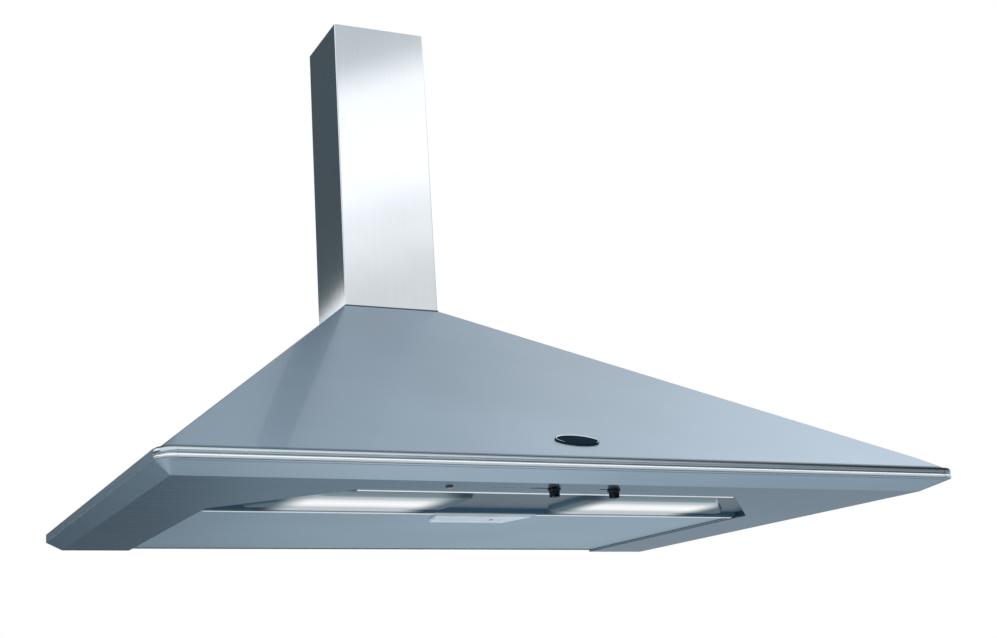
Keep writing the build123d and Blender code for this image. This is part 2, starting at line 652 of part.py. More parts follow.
def make_latch():
    """Wedge-shaped finger pull under the panel, with a tongue above it."""
    top = PANEL_RECESS - FIT
    front, back = HEM_RADIUS * 2 + FIT - PANEL_FRONT, LATCH_DEPTH - PANEL_FRONT
    outline = make_face(Polyline((-LATCH_FRONT_WIDTH / 2, front), (LATCH_FRONT_WIDTH / 2, front),
                                 (LATCH_BACK_WIDTH / 2, back), (-LATCH_BACK_WIDTH / 2, back),
                                 close=True))
    pull = extrude(Pos(0, 0, top) * outline, amount=LATCH_DROP, dir=(0, 0, -1), taper=12)
    pull = chamfer(pull.edges().group_by(Axis.Z)[0], LATCH_DROP / 6)
    scoop = rod_x(LATCH_SCOOP_RADIUS, (-LATCH_SCOOP_HALF, LATCH_SCOOP_HALF),
                  (front + back) / 2, top - LATCH_DROP - LATCH_SCOOP_RADIUS + LATCH_DROP / 2)
    pull -= scoop
    neck_front, neck_back = latch_neck_span()
    half = LATCH_NECK_WIDTH / 2
    tongue_low = PANEL_RECESS + SHEET + FIT
    pull += block((-half, half), (neck_front, neck_back), (top - SHEET, tongue_low + TONGUE_THICK))
    plate_half = half + TONGUE_THICK
    pull += block((-plate_half, plate_half), (neck_front - TONGUE_THICK, neck_back + TONGUE_THICK),
                  (tongue_low, tongue_low + TONGUE_THICK))
    tongue = TONGUE_WIDTH / 2
    pull += block((-tongue, tongue), (TONGUE_REACH - TRAY_BACK, neck_front),
                  (tongue_low, tongue_low + TONGUE_THICK))
    return pull


def make_latch_keeper():
    """Bent spring strip on the lamp tray that the latch's tongue snaps over."""
    half = TONGUE_WIDTH / 2 - FIT
    tongue_low = PANEL_RECESS + SHEET + FIT
    foot = TRAY_TOP + FIT
    back = FIT - TRAY_BACK
    front_face = (back, back + KEEPER_SHEET)
    strip = block((-half, half), front_face, (tongue_low - FIT - KEEPER_SHEET, foot + KEEPER_SHEET))
    strip += block((-half, half), (back - KEEPER_FOOT, front_face[1]), (foot, foot + KEEPER_SHEET))
    strip += block((-half, half), (back, back + KEEPER_REACH),
                   (tongue_low - FIT - KEEPER_SHEET, tongue_low - FIT))
    return strip


# ---- lamps ----

def lens_plan(grow, height):
    """Plan of the right lens: its outer end follows the cut-off corner of the opening."""
    corners = [(LENS_INNER, -LENS_FRONT), (opening_half(LENS_FRONT) - LENS_MARGIN, -LENS_FRONT),
               (opening_half(LENS_BACK) - LENS_MARGIN, -LENS_BACK), (LENS_INNER, -LENS_BACK)]
    outline = make_face(Polyline(*corners, close=True))
    outline = fillet(outline.vertices(), LENS_CORNER)
    if grow:
        outline = offset(outline, grow)
    return Pos(0, 0, height) * outline


def make_lamp_tray():
    """Drop-in pan over the front of the opening, with a window for each lens."""
    lip = (SEAT_TOP, SEAT_TOP + SHEET)
    inner = opening_block(-FIT - SHEET, 0, 2 * CARRIER_TOP, back=TRAY_BACK)
    tray = opening_block(-FIT, TRAY_RISE, lip[1], back=TRAY_BACK) - inner
    tray += opening_block(-FIT, TRAY_RISE, TRAY_TOP, back=TRAY_BACK)
    tray += opening_block(SEAT_WIDTH, *lip, back=TRAY_BACK) - inner
    half = opening_half(TRAY_BACK + SHEET) - 2 * FIT
    tray += block((-half, half), (-TRAY_BACK - SHEET, -TRAY_BACK), (PANEL_RECESS, TRAY_TOP))
    window = prism(lens_plan(0, TRAY_RISE - SHEET), 3 * SHEET)
    tray -= window + mirrored(window)
    for x, y in tray_screws():
        tray -= rod_z(SCREW_HOLE, (lip[0] - SHEET, lip[1] + SHEET), x, y)
    return tray


def make_recess_trim():
    """Bright bead that clips over the front lip of the lamp recess."""
    half = OPENING_FRONT / 2 - SHEET
    y = FIT + TRIM_RADIUS - OPENING_DEPTH
    return rod_x(TRIM_RADIUS, (-half, half), y, TRIM_RADIUS - TRIM_DROP)


def make_right_lens():
    """Frosted dish that hangs through the lamp tray, its flange resting on the tray."""
    seat = TRAY_TOP + FIT
    lens = prism(lens_plan(LENS_FLANGE, seat), LENS_FLANGE / 2)
    drop = seat - TRAY_RISE + LENS_DROP
    dish = extrude(lens_plan(-FIT, seat), amount=drop, dir=(0, 0, -1), taper=LENS_DRAFT)
    dish = fillet(dish.edges().group_by(Axis.Z)[0], LENS_WALL)
    lens += dish
    depth = drop + LENS_FLANGE - LENS_WALL
    hollow = extrude(lens_plan(-FIT - LENS_WALL, seat + LENS_FLANGE), amount=depth, dir=(0, 0, -1),
                     taper=LENS_DRAFT)
    return lens - hollow


def make_right_reflector():
    """Bright trough over the right lens, notched at its inner end for the lamp."""
    seat = TRAY_TOP + FIT
    top = seat + REFLECTOR_HEIGHT
    foot_grow = LENS_FLANGE + REFLECTOR_SHEET + 2 * FIT
    outer = loft([lens_plan(foot_grow, seat), lens_plan(-LENS_FLANGE, top)], ruled=True)
    inner = loft([lens_plan(foot_grow - REFLECTOR_SHEET, seat - FIT),
                  lens_plan(-LENS_FLANGE - REFLECTOR_SHEET, top - REFLECTOR_SHEET)], ruled=True)
    notch = rod_x(BULB_RADIUS + SHEET, (0, LENS_INNER + REFLECTOR_HEIGHT), LAMP_Y, BULB_RISE)
    notch += block((0, LENS_INNER), (LAMP_Y - BULB_RADIUS, LAMP_Y + BULB_RADIUS), (seat + SHEET, BULB_RISE))
    return outer - inner - notch


def make_right_bulb():
    """Tubular lamp: a round-ended glass tube."""
    start = SOCKET_INNER + SOCKET_LENGTH + SHEET
    tube = rod_x(BULB_RADIUS, (start, start + BULB_LENGTH), LAMP_Y, BULB_RISE)
    ends = tube.edges().filter_by(GeomType.CIRCLE).sort_by(Axis.X)
    tube = fillet(ends[-1], BULB_RADIUS - SHEET)
    return fillet(tube.edges().filter_by(GeomType.CIRCLE).sort_by(Axis.X)[0], BULB_RADIUS / 3)


def make_right_bulb_cap():
    """Threaded metal cap of the lamp, between the glass and the bottom of its socket."""
    end = SOCKET_INNER + SOCKET_LENGTH + SHEET
    start = end - BULB_CAP_LENGTH
    cap = rod_x(BULB_CAP_RADIUS - SHEET / 2, (start, end), LAMP_Y, BULB_RISE)
    pitch = BULB_CAP_LENGTH / BULB_CAP_RIBS
    for turn in range(1, BULB_CAP_RIBS):
        x = start + turn * pitch
        cap += rod_x(BULB_CAP_RADIUS, (x - pitch / 4, x + pitch / 4), LAMP_Y, BULB_RISE)
    return cap


def make_right_socket():
    """Lamp socket standing on the lamp tray beside its lens."""
    end = SOCKET_INNER + SOCKET_LENGTH
    seat = TRAY_TOP + FIT
    foot_half = SOCKET_RADIUS * 0.8
    socket = rod_x(SOCKET_RADIUS, (SOCKET_INNER, end), LAMP_Y, BULB_RISE)
    socket += block((SOCKET_INNER, end - SOCKET_RADIUS), (LAMP_Y - foot_half, LAMP_Y + foot_half),
                    (seat, BULB_RISE))
    bore_start = end + SHEET - BULB_CAP_LENGTH - FIT
    return socket - rod_x(BULB_CAP_RADIUS + FIT, (bore_start, end), LAMP_Y, BULB_RISE)


# ---- controls ----

def make_slider(knob_x):
    """Finger tab under the border, with a neck through the slot and a shoe above it."""
    base_low, base_high = -FIT - KNOB_BASE, -FIT
    half, length = KNOB_WIDTH / 2, KNOB_LENGTH / 2
    knob = block((-half, half), (-length, length), (base_low, base_high))
    knob = chamfer(knob.edges().group_by(Axis.Z)[0], KNOB_BASE / 3)
    tab = extrude(Pos(0, 0, base_low) * Rectangle(KNOB_WIDTH - KNOB_BASE, KNOB_TAB_DEPTH),
                  amount=KNOB_DROP - KNOB_BASE, dir=(0, 0, -1), taper=KNOB_DRAFT)
    tab_foot = -FIT - KNOB_DROP
    rib = KNOB_WIDTH / 7
    for x in (-rib, rib):
        tab -= block((x - rib / 4, x + rib / 4), (-length, length),
                     (tab_foot - SHEET, base_low - KNOB_BASE))
    tab -= block((-rib / 2, rib / 2), (-length, length), (tab_foot - SHEET, tab_foot + KNOB_DROP / 3))
    knob += tab
    neck = (NECK_LENGTH / 2, NECK_WIDTH / 2)
    shoe_low = FRAME_SHEET + FIT
    knob += block((-neck[0], neck[0]), (-neck[1], neck[1]), (base_high, shoe_low + SHOE_HEIGHT))
    shoe = neck[1] + SHOE_WIDTH
    knob += block((-neck[0], neck[0]), (-shoe, shoe), (shoe_low, shoe_low + SHOE_HEIGHT))
    return Pos(knob_x, CONTROL_Y, 0) * knob


def make_switch(knob_x, travel):
    """Slide switch above the border, with a channel for the slider's shoe and a row of tags."""
    span = (knob_x - travel - SWITCH_END, knob_x + SWITCH_END)
    low, high = FRAME_SHEET, FRAME_SHEET + SWITCH_HEIGHT
    body = block(span, (CONTROL_Y - SWITCH_HALF, CONTROL_Y + SWITCH_HALF), (low, high))
    half = NECK_WIDTH / 2 + SHOE_WIDTH + FIT
    ends = (knob_x - travel - NECK_LENGTH / 2 - FIT, knob_x + NECK_LENGTH / 2 + FIT)
    body -= block(ends, (CONTROL_Y - half, CONTROL_Y + half), (low - SHEET, low + SHOE_HEIGHT + 2 * FIT))
    pitch = (span[1] - span[0]) / SWITCH_TAGS
    for tag in range(SWITCH_TAGS):
        x = span[0] + (tag + 0.5) * pitch
        body += block((x - TAG_WIDTH / 2, x + TAG_WIDTH / 2),
                      (CONTROL_Y - TAG_THICK, CONTROL_Y + TAG_THICK), (high, high + TAG_HEIGHT))
    return body


def make_control_cover():
    """Moulded cover over both switches and the pilot lamp."""
    span = (PILOT_X - COVER_END, LIGHT_KNOB_X + COVER_END)
    low, high = FRAME_SHEET, FRAME_SHEET + COVER_HEIGHT
    sides = (CONTROL_Y - COVER_HALF, CONTROL_Y + COVER_HALF)
    cover = block(span, sides, (low, high))
    cover = fillet(cover.edges().group_by(Axis.Z)[-1], COVER_WALL)
    wall = COVER_WALL
    cover -= block((span[0] + wall, span[1] - wall), (sides[0] + wall, sides[1] - wall),
                   (low - wall, high - wall))
    middle = (span[0] + span[1]) / 2
    cover -= block((middle - COVER_WALL * 3, middle + COVER_WALL * 3), (CONTROL_Y, sides[1] + wall),
                   (high / 2, high - 2 * wall))
    return cover


def make_pilot_lens():
    """Small domed lens that snaps through the border."""
    head = Pos(0, 0, -FIT) * extrude(Circle(PILOT_RADIUS), amount=PILOT_HEAD, dir=(0, 0, -1))
    head = fillet(head.edges().group_by(Axis.Z)[0], PILOT_HEAD * 0.8)
    stem = rod_z(PILOT_RADIUS - SHEET, (-FIT, SWITCH_HEIGHT), 0, 0)
    return Pos(PILOT_X, CONTROL_Y, 0) * (head + stem)


# ---- grease filters ----

def filter_span():
    """Ends of the right filter along X, and along Y."""
    outer = OPENING_HALF - FIT - SHEET - FILTER_PLAY
    front = -CARRIER_FRONT + SHEET + FILTER_PLAY
    back = -SEAT_WIDTH - SHEET - FILTER_PLAY
    return (FILTER_BAR / 2, outer), (front, back)


def make_carrier():
    """Pan that holds the two filters over the suction panel, open to the blower above."""
    half = OPENING_HALF - FIT
    low = SEAT_TOP + SHEET + FIT
    front, back = -CARRIER_FRONT, -SEAT_WIDTH
    walls = block((-half, half), (front, back), (low, CARRIER_TOP))
    inside = half - SHEET
    walls -= block((-inside, inside), (front + SHEET, back - SHEET), (low - SHEET, CARRIER_TOP - SHEET))
    ends, sides = filter_span()
    ledge = FILTER_LEDGE
    window = block((ends[0] + ledge, ends[1] - ledge), (sides[0] + ledge, sides[1] - ledge),
                   (CARRIER_TOP - 2 * SHEET, CARRIER_TOP + SHEET))
    walls -= window + mirrored(window)
    side_ends = (FIT - min(CORNER_START, TRAY_BACK), back)
    lip = block((half - SHEET, half + SEAT_WIDTH), side_ends, (SEAT_TOP, SEAT_TOP + SHEET))
    lip += block((half - SHEET, half), side_ends, (SEAT_TOP, low + SHEET))
    walls += lip + mirrored(lip)
    rear_half = PANEL_HALF - 2 * SEAT_WIDTH
    walls += block((-rear_half, rear_half), (back - SHEET, WALL_FACE - FIT), (SEAT_TOP, SEAT_TOP + SHEET))
    walls += block((-rear_half, rear_half), (back - SHEET, back), (SEAT_TOP, low + SHEET))
    foot_half = opening_half(CARRIER_FRONT + CARRIER_FOOT) - 3 * (SHEET + FIT)
    foot_low = TRAY_TOP + FIT
    walls += block((-foot_half, foot_half), (front, front + SHEET), (foot_low, low + SHEET))
    walls += block((-foot_half, foot_half), (front - CARRIER_FOOT, front + SHEET),
                   (foot_low, foot_low + SHEET))
    keeper = TONGUE_WIDTH / 2
    walls -= block((-keeper, keeper), (front - 2 * CARRIER_FOOT, front + 2 * SHEET),
                   (foot_low - FIT, foot_low + SHEET + FIT))
    divider = FILTER_BAR / 2 - FILTER_PLAY
    walls += block((-divider, divider), (front, back), (filter_heights()[0], CARRIER_TOP - SHEET))
    hook = block((ends[0] + ledge, ends[1] - ledge), (sides[1] - ledge, back),
                 (filter_heights()[0] - FIT - SHEET, filter_heights()[0] - FIT))
    walls += hook + mirrored(hook)
    slot = CATCH_WIDTH / 2 + FIT
    middle = (ends[0] + ends[1]) / 2
    catch_low = filter_heights()[0] + FILTER_RIM
    bolt = block((middle - slot, middle + slot), (front - SHEET, front + 2 * SHEET),
                 (catch_low - FIT, catch_low + CATCH_THICK + FIT))
    walls -= bolt + mirrored(bolt)
    for x, y in carrier_screws():
        walls -= rod_z(SCREW_HOLE, (SEAT_TOP - SHEET, SEAT_TOP + 2 * SHEET), x, y)
    return walls


def filter_heights():
    """Underside and top of the filters."""
    top = CARRIER_TOP - SHEET - FIT
    return top - FILTER_THICKNESS, top


def make_right_filter_frame():
    """Aluminium channel round the filter's mesh, with a pocket for the catch."""
    (x0, x1), (y0, y1) = filter_span()
    low, high = filter_heights()
    frame = block((x0, x1), (y0, y1), (low, high))
    rim, lip = FILTER_RIM, FILTER_FRAME_WIDTH
    frame -= block((x0 + lip, x1 - lip), (y0 + lip, y1 - lip), (low - rim, high + rim))
    frame -= block((x0 + rim, x1 - rim), (y0 + lip - FILTER_GROOVE, y1 - rim), (low + rim, high - rim))
    middle = (x0 + x1) / 2
    half = CATCH_WIDTH / 2 + FIT
    floor = low + rim - FIT
    frame -= block((middle - half, middle + half), (y0 - rim, y0 + CATCH_LENGTH + CATCH_TRAVEL + FIT),
                   (floor, floor + CATCH_THICK + 2 * FIT))
    thumb = CATCH_THUMB / 2 + FIT
    thumb_front, thumb_back = catch_thumb_span()
    frame -= block((middle - thumb, middle + thumb), (thumb_front - FIT, thumb_back + CATCH_TRAVEL + FIT),
                   (low - rim, floor + rim))
    return frame


def catch_thumb_span():
    """Front and back of the catch's thumb piece at rest."""
    front = filter_span()[1][0] + CATCH_THUMB_INSET
    return front, front + CATCH_THUMB


def make_right_catch():
    """Spring bolt in the filter's front edge, drawn back by a thumb piece."""
    (x0, x1), (y0, _) = filter_span()
    low = filter_heights()[0] + FILTER_RIM
    middle = (x0 + x1) / 2
    half, thumb = CATCH_WIDTH / 2, CATCH_THUMB / 2
    bolt = block((middle - half, middle + half), (-CARRIER_FRONT - CATCH_REACH, y0 + CATCH_LENGTH),
                 (low, low + CATCH_THICK))
    front, back = catch_thumb_span()
    bolt += block((middle - thumb, middle + thumb), (front, back),
                  (low - 2 * FILTER_RIM, low + CATCH_THICK / 2))
    return bolt


def make_right_mesh():
    """Pleated mesh core of the filter, held in the frame's channel."""
    (x0, x1), (y0, y1) = filter_span()
    low, high = filter_heights()
    inset = FILTER_RIM + FIT
    x0, x1 = x0 + inset, x1 - inset
    y0, y1 = y0 + FILTER_FRAME_WIDTH - FILTER_GROOVE + FIT, y1 - inset
    low, high = low + inset, high - inset
    pitch = (x1 - x0) / MESH_PLEATS
    sheet = MESH_SHEET
    ridge = [(x0 + turn * pitch / 2, high if turn % 2 else low + sheet) for turn in range(2 * MESH_PLEATS + 1)]
    valley = [(x, z - sheet) for x, z in reversed(ridge)]
    outline = make_face(Polyline(*ridge, *valley, close=True))
    return extrude(Plane(origin=(0, y0, 0), x_dir=(1, 0, 0), z_dir=(0, -1, 0)) * outline, amount=y1 - y0,
                   dir=(0, 1, 0))


# ---- blower ----

def fan_plane(x):
    """Plane across the fan's axis: first axis along Y, second up, centred on the axis."""
    return Plane(origin=(x, BLOWER_Y, BLOWER_AXIS_RISE), x_dir=(0, 1, 0), z_dir=(1, 0, 0))


def scroll_outline():
    """Inside of the scroll, from three tangent quarter turns and the outlet, round the fan's axis."""
    step = SCROLL_STEP
    radii = [SCROLL_RADIUS + quarter * step for quarter in range(3)]
    centres = [(0, 0), (step, 0), (step, step)]
    arcs = [CenterArc(centre, radius, 90 + 90 * quarter, 90)
            for quarter, (centre, radius) in enumerate(zip(centres, radii))]
    wall = step + radii[2]
    mouth = OUTLET_RISE - BLOWER_AXIS_RISE
    outlet = Polyline((wall, step), (wall, mouth), (0, mouth), (0, radii[0]))
    return make_face([*arcs, outlet])


def scroll_skin():
    """Outside of the scroll's wall, cut level at the outlet."""
    wide = offset(scroll_outline(), SCROLL_SHEET, kind=Kind.INTERSECTION)
    above = OUTLET_RISE - BLOWER_AXIS_RISE + SCROLL_RADIUS
    return wide - Pos(0, above) * Rectangle(4 * scroll_reach(), 2 * SCROLL_RADIUS)


def make_scroll_band():
    """Spiral wall of the blower, open at its outlet and flanged there."""
    band = extrude(fan_plane(-BLOWER_HALF) * scroll_skin(), amount=2 * BLOWER_HALF)
    past = SCROLL_SHEET
    band -= extrude(fan_plane(-BLOWER_HALF - past) * scroll_outline(), amount=2 * (BLOWER_HALF + past))
    tall = 4 * SCROLL_SHEET
    half = BLOWER_HALF
    mouth = (BLOWER_Y, BLOWER_Y + scroll_reach())
    flange = block((-half, half), (mouth[0] - OUTLET_FLANGE, mouth[1] + SCROLL_SHEET),
                   (OUTLET_RISE - SCROLL_SHEET, OUTLET_RISE))
    band += flange
    band -= block((-2 * half, 2 * half), mouth, (OUTLET_RISE - tall, OUTLET_RISE + tall))
    return band


def scroll_reach():
    """Fan axis to the scroll's wall on the outlet side."""
    return SCROLL_RADIUS + 3 * SCROLL_STEP


def make_right_side_plate():
    """Side of the scroll, with a rolled inlet and a flange at the outlet."""
    plate = extrude(fan_plane(BLOWER_HALF) * scroll_skin(), amount=SCROLL_SHEET)
    roll = SCROLL_SHEET * 1.5
    ring = extrude(fan_plane(BLOWER_HALF - roll) * (Circle(INLET_RADIUS + SCROLL_SHEET) - Circle(INLET_RADIUS)),
                   amount=roll + SCROLL_SHEET / 2)
    plate += ring
    plate -= extrude(fan_plane(0) * Circle(INLET_RADIUS), amount=2 * BLOWER_HALF)
    mouth = (BLOWER_Y - OUTLET_FLANGE, BLOWER_Y + scroll_reach())
    plate += block((BLOWER_HALF, SIDE_PLATE_FACE + OUTLET_FLANGE), mouth,
                   (OUTLET_RISE - SCROLL_SHEET, OUTLET_RISE))
    for angle in MOTOR_ARM_ANGLES:
        spot = fan_plane(0) * Rot(0, 0, angle) * Pos(MOTOR_SCREW_RADIUS, 0) * Circle(SCREW_HOLE)
        plate -= extrude(spot, amount=2 * BLOWER_HALF)
    return plate


def blade_outline():
    """One forward-curved blade: a thin arc from the wheel's inner edge to its rim."""
    thick = FAN_BLADE_THICK
    lead = FAN_BLADE_LEAD
    middle = (FAN_INNER_RADIUS + FAN_RADIUS) / 2
    points = [(FAN_INNER_RADIUS, 0), (middle, lead / 6), (FAN_RADIUS - thick, lead)]
    face = ThreePointArc(*points)
    back = ThreePointArc(*[(x - thick / 3, y + thick) for x, y in reversed(points)])
    return make_face([face, Line(face @ 1, back @ 0), back, Line(back @ 1, face @ 0)])


def make_impeller():
    """Double-inlet fan wheel: a centre disc, a ring at each end and blades through all three."""
    ring_width = 2 * SHEET
    blades = [Rot(0, 0, 360 * turn / FAN_BLADES) * blade_outline() for turn in range(FAN_BLADES)]
    ring = Circle(FAN_RADIUS) - Circle(FAN_INNER_RADIUS - FAN_BLADE_THICK)
    wheel = extrude(fan_plane(-FAN_HALF) * ring, amount=ring_width)
    wheel += extrude(fan_plane(FAN_HALF - ring_width) * ring, amount=ring_width)
    wheel += extrude(fan_plane(-SHEET) * Circle(FAN_RADIUS), amount=2 * SHEET)
    wheel += extrude(fan_plane(-HUB_LENGTH) * Circle(HUB_RADIUS), amount=HUB_LENGTH)
    span = 2 * (FAN_HALF - SHEET)
    wheel += [extrude(fan_plane(SHEET - FAN_HALF) * blade, amount=span) for blade in blades]
    return wheel - extrude(fan_plane(-BLOWER_HALF) * Circle(SHAFT_RADIUS), amount=2 * BLOWER_HALF)


def make_shaft():
    """Motor shaft, from the wheel's hub into the motor."""
    return rod_x(SHAFT_RADIUS, (-HUB_LENGTH - FIT, MOTOR_START + SHAFT_REACH), BLOWER_Y, BLOWER_AXIS_RISE)


def make_motor():
    """Motor inside the right half of the wheel, with end bells and a blind bore for the shaft."""
    axis = (BLOWER_Y, BLOWER_AXIS_RISE)
    end = SIDE_PLATE_FACE
    motor = rod_x(MOTOR_RADIUS * 0.72, (MOTOR_START, end), *axis)
    motor += rod_x(MOTOR_RADIUS, (MOTOR_START + MOTOR_BELL, end - MOTOR_BELL), *axis)
    core = (MOTOR_START + 2 * MOTOR_BELL, end - 2 * MOTOR_BELL)
    for turn in range(MOTOR_FINS):
        slot = Rot(0, 0, 360 * turn / MOTOR_FINS) * Pos(MOTOR_RADIUS, 0) * Rectangle(2 * SHEET, 3 * SHEET)
        motor -= extrude(fan_plane(core[0]) * slot, amount=core[1] - core[0])
    bore = (MOTOR_START - SHEET, MOTOR_START + SHAFT_REACH + FIT)
    return motor - rod_x(SHAFT_RADIUS + RUNNING, bore, *axis)


def make_motor_bracket():
    """Plate with three arms that carries the motor across the right inlet."""
    face = SIDE_PLATE_FACE + FIT
    plan_face = Circle(MOTOR_RADIUS * 0.8)
    for angle in MOTOR_ARM_ANGLES:
        reach = MOTOR_SCREW_RADIUS
        arm = Pos(reach / 2, 0) * Rectangle(reach, GROMMET_RADIUS * 2.2)
        plan_face += Rot(0, 0, angle) * (arm + Pos(reach, 0) * Circle(GROMMET_RADIUS * 1.5))
    bracket = extrude(fan_plane(face) * plan_face, amount=BRACKET_SHEET)
    for angle in MOTOR_ARM_ANGLES:
        spot = Rot(0, 0, angle) * Pos(MOTOR_SCREW_RADIUS, 0) * Circle(GROMMET_RADIUS - SHEET + FIT)
        bracket -= extrude(fan_plane(face - SHEET) * spot, amount=4 * SHEET)
    return bracket


def make_motor_grommets():
    """Rubber bushes in the bracket's arms."""
    face = SIDE_PLATE_FACE + FIT / 2
    pieces = []
    for angle in MOTOR_ARM_ANGLES:
        place = Rot(0, 0, angle) * Pos(MOTOR_SCREW_RADIUS, 0)
        bush = extrude(fan_plane(face) * place * Circle(GROMMET_RADIUS - SHEET), amount=BRACKET_SHEET + 2 * FIT)
        rim = fan_plane(face + BRACKET_SHEET + 2 * FIT) * place * Circle(GROMMET_RADIUS)
        bush += extrude(rim, amount=SHEET)
        bush -= extrude(fan_plane(face - SHEET) * place * Circle(SCREW_HOLE), amount=6 * SHEET)
        pieces.append(bush)
    return group(pieces)


def make_motor_screws():
    """Screws through the rubber bushes into the scroll's side plate."""
    seat = SIDE_PLATE_FACE + BRACKET_SHEET + 3 * FIT + SHEET
    length = seat - BLOWER_HALF + SHEET
    pieces = []
    for angle in MOTOR_ARM_ANGLES:
        place = fan_plane(seat).location * Rot(0, 0, angle) * Pos(MOTOR_SCREW_RADIUS, 0, 0)
        pieces.append(place * screw(length))
    return group(pieces)


def make_right_blower_bracket():
    """Angle that ties the scroll's right side plate to the wall panel."""
    low, high = BLOWER_BRACKET_LOW, BLOWER_BRACKET_HIGH
    inner = SIDE_PLATE_FACE + FIT + BLOWER_BRACKET_STAND
    back = WALL_FACE - FIT
    bracket = block((inner, inner + BLOWER_BRACKET_WIDTH), (back - BRACKET_SHEET, back), (low, high))
    bracket += block((inner, inner + BRACKET_SHEET), (-BLOWER_BRACKET_DEPTH, back), (low, high))
    for z in blower_bracket_heights():
        bracket -= rod_y(SCREW_HOLE, (2 * back - BRACKET_SHEET, 0), BLOWER_BRACKET_SCREW_X, z)
        bracket += rod_x(BLOWER_BRACKET_PAD, (SIDE_PLATE_FACE + FIT, inner), BLOWER_PAD_Y, z)
    return bracket


def make_blower_screws():
    """Screws from the brackets into the wall panel, heads forward."""
    seat = WALL_FACE - FIT - BRACKET_SHEET
    pieces = []
    for side in (-1, 1):
        for z in blower_bracket_heights():
            place = Pos(side * BLOWER_BRACKET_SCREW_X, seat, z) * Rot(90, 0, 0)
            pieces.append(place * screw(-seat - SCREW_CLEARANCE))
    return group(pieces)


# ---- outlet ----

def make_spigot():
    """Flanged outlet spigot with an inner ledge for the flaps and holes for their pin."""
    low = OUTLET_RISE + FIT
    half = SIDE_PLATE_FACE + OUTLET_FLANGE
    front, back = BLOWER_Y - OUTLET_FLANGE, WALL_FACE - FIT
    spigot = block((-half, half), (front, back), (low, low + DUCT_WALL))
    spigot += rod_z(DUCT_RADIUS, (low, DUCT_TOP), 0, DUCT_Y)
    bore = DUCT_RADIUS - DUCT_WALL
    ledge = (FLAP_RISE - FLAP_SHEET / 2 - FIT - DUCT_WALL, FLAP_RISE - FLAP_SHEET / 2 - FIT)
    spigot -= rod_z(bore, (ledge[1], DUCT_TOP + DUCT_WALL), 0, DUCT_Y)
    spigot -= rod_z(bore - FLAP_LEDGE, (low - DUCT_WALL, DUCT_TOP), 0, DUCT_Y)
    spigot -= rod_z(bore, (low - DUCT_WALL, ledge[0]), 0, DUCT_Y)
    ends = (-DUCT_RADIUS - DUCT_WALL, DUCT_RADIUS + DUCT_WALL)
    return spigot - rod_x(FLAP_PIN_RADIUS, ends, DUCT_Y, FLAP_RISE)


def make_flap_pin():
    """Pin across the spigot that both flaps turn on."""
    return rod_x(FLAP_PIN_RADIUS, (-DUCT_RADIUS, DUCT_RADIUS), DUCT_Y, FLAP_RISE)


def make_flap(towards_wall):
    """Half-round flap with two knuckles on the shared pin, clear of the other flap's knuckles."""
    radius = DUCT_RADIUS - DUCT_WALL - FLAP_GAP
    knuckle = FLAP_PIN_RADIUS + FLAP_KNUCKLE_WALL
    clear = knuckle + FLAP_GAP
    sign = 1 if towards_wall else -1
    disc = extrude(Circle(radius), amount=FLAP_SHEET / 2, both=True)
    keep = sorted((sign * clear, sign * 2 * radius))
    flap = disc & block((-radius, radius), keep, (-FLAP_SHEET, FLAP_SHEET))
    length = FLAP_KNUCKLE_SPAN / 4
    starts = (0, 2) if towards_wall else (1, 3)
    for start in starts:
        x = start * length - FLAP_KNUCKLE_SPAN / 2
        ends = (x + FIT, x + length - FIT)
        barrel = rod_x(knuckle, ends, 0, 0)
        web = block(ends, sorted((0, sign * (clear + FLAP_SHEET))), (-FLAP_SHEET / 2, FLAP_SHEET / 2))
        flap += barrel + web
    flap -= rod_x(FLAP_PIN_RADIUS + RUNNING, (-radius, radius), 0, 0)
    return Pos(0, DUCT_Y, FLAP_RISE) * flap


# ---- chimney ----

def make_foot_bracket():
    """Low U-shaped rim on the canopy that the lower cover drops over, with four screw tabs."""
    low, high = CANOPY_RISE + FIT, FOOT_TOP
    half = CHIMNEY_WIDTH / 2 - SHEET - FIT
    front = CHIMNEY_DEPTH - SHEET - FIT
    back = -FIT - SHEET - FIT
    rim = prism(plan(half, front, HIP_RADIUS - SHEET / 2, low, back), high - low)
    rim -= prism(plan(half - FOOT_SHEET, front - FOOT_SHEET, HIP_RADIUS / 4, low, SHEET), high - low)
    for x, y in foot_screws():
        side = 1 if x > 0 else -1
        edges = sorted((x - side * FOOT_TAB / 2, side * (half - FOOT_SHEET / 2)))
        rim += block(edges, (y - FOOT_TAB / 2, y + FOOT_TAB / 2), (low, low + FOOT_SHEET))
        rim -= rod_z(SCREW_HOLE, (low - SHEET, low + 2 * SHEET), x, y)
    return rim


def make_lower_cover():
    """Fixed chimney cover: a folded U with returns at the wall."""
    low = CANOPY_RISE + FIT
    half, depth = CHIMNEY_WIDTH / 2, CHIMNEY_DEPTH
    height = CHIMNEY_RISE - low
    cover = prism(plan(half, depth, FOLD_RADIUS, low, -FIT), height)
    cover -= prism(plan(half - SHEET, depth - SHEET, FOLD_RADIUS / 3, low, SHEET), height)
    inner = half - SHEET / 2
    returns = block((inner - COVER_RETURN, inner), (-FIT - SHEET, -FIT), (low, CHIMNEY_RISE))
    return cover + returns + mirrored(returns)


def upper_cover_half():
    """Half the outside width of the upper cover."""
    return CHIMNEY_WIDTH / 2 - SHEET - TELESCOPE_GAP


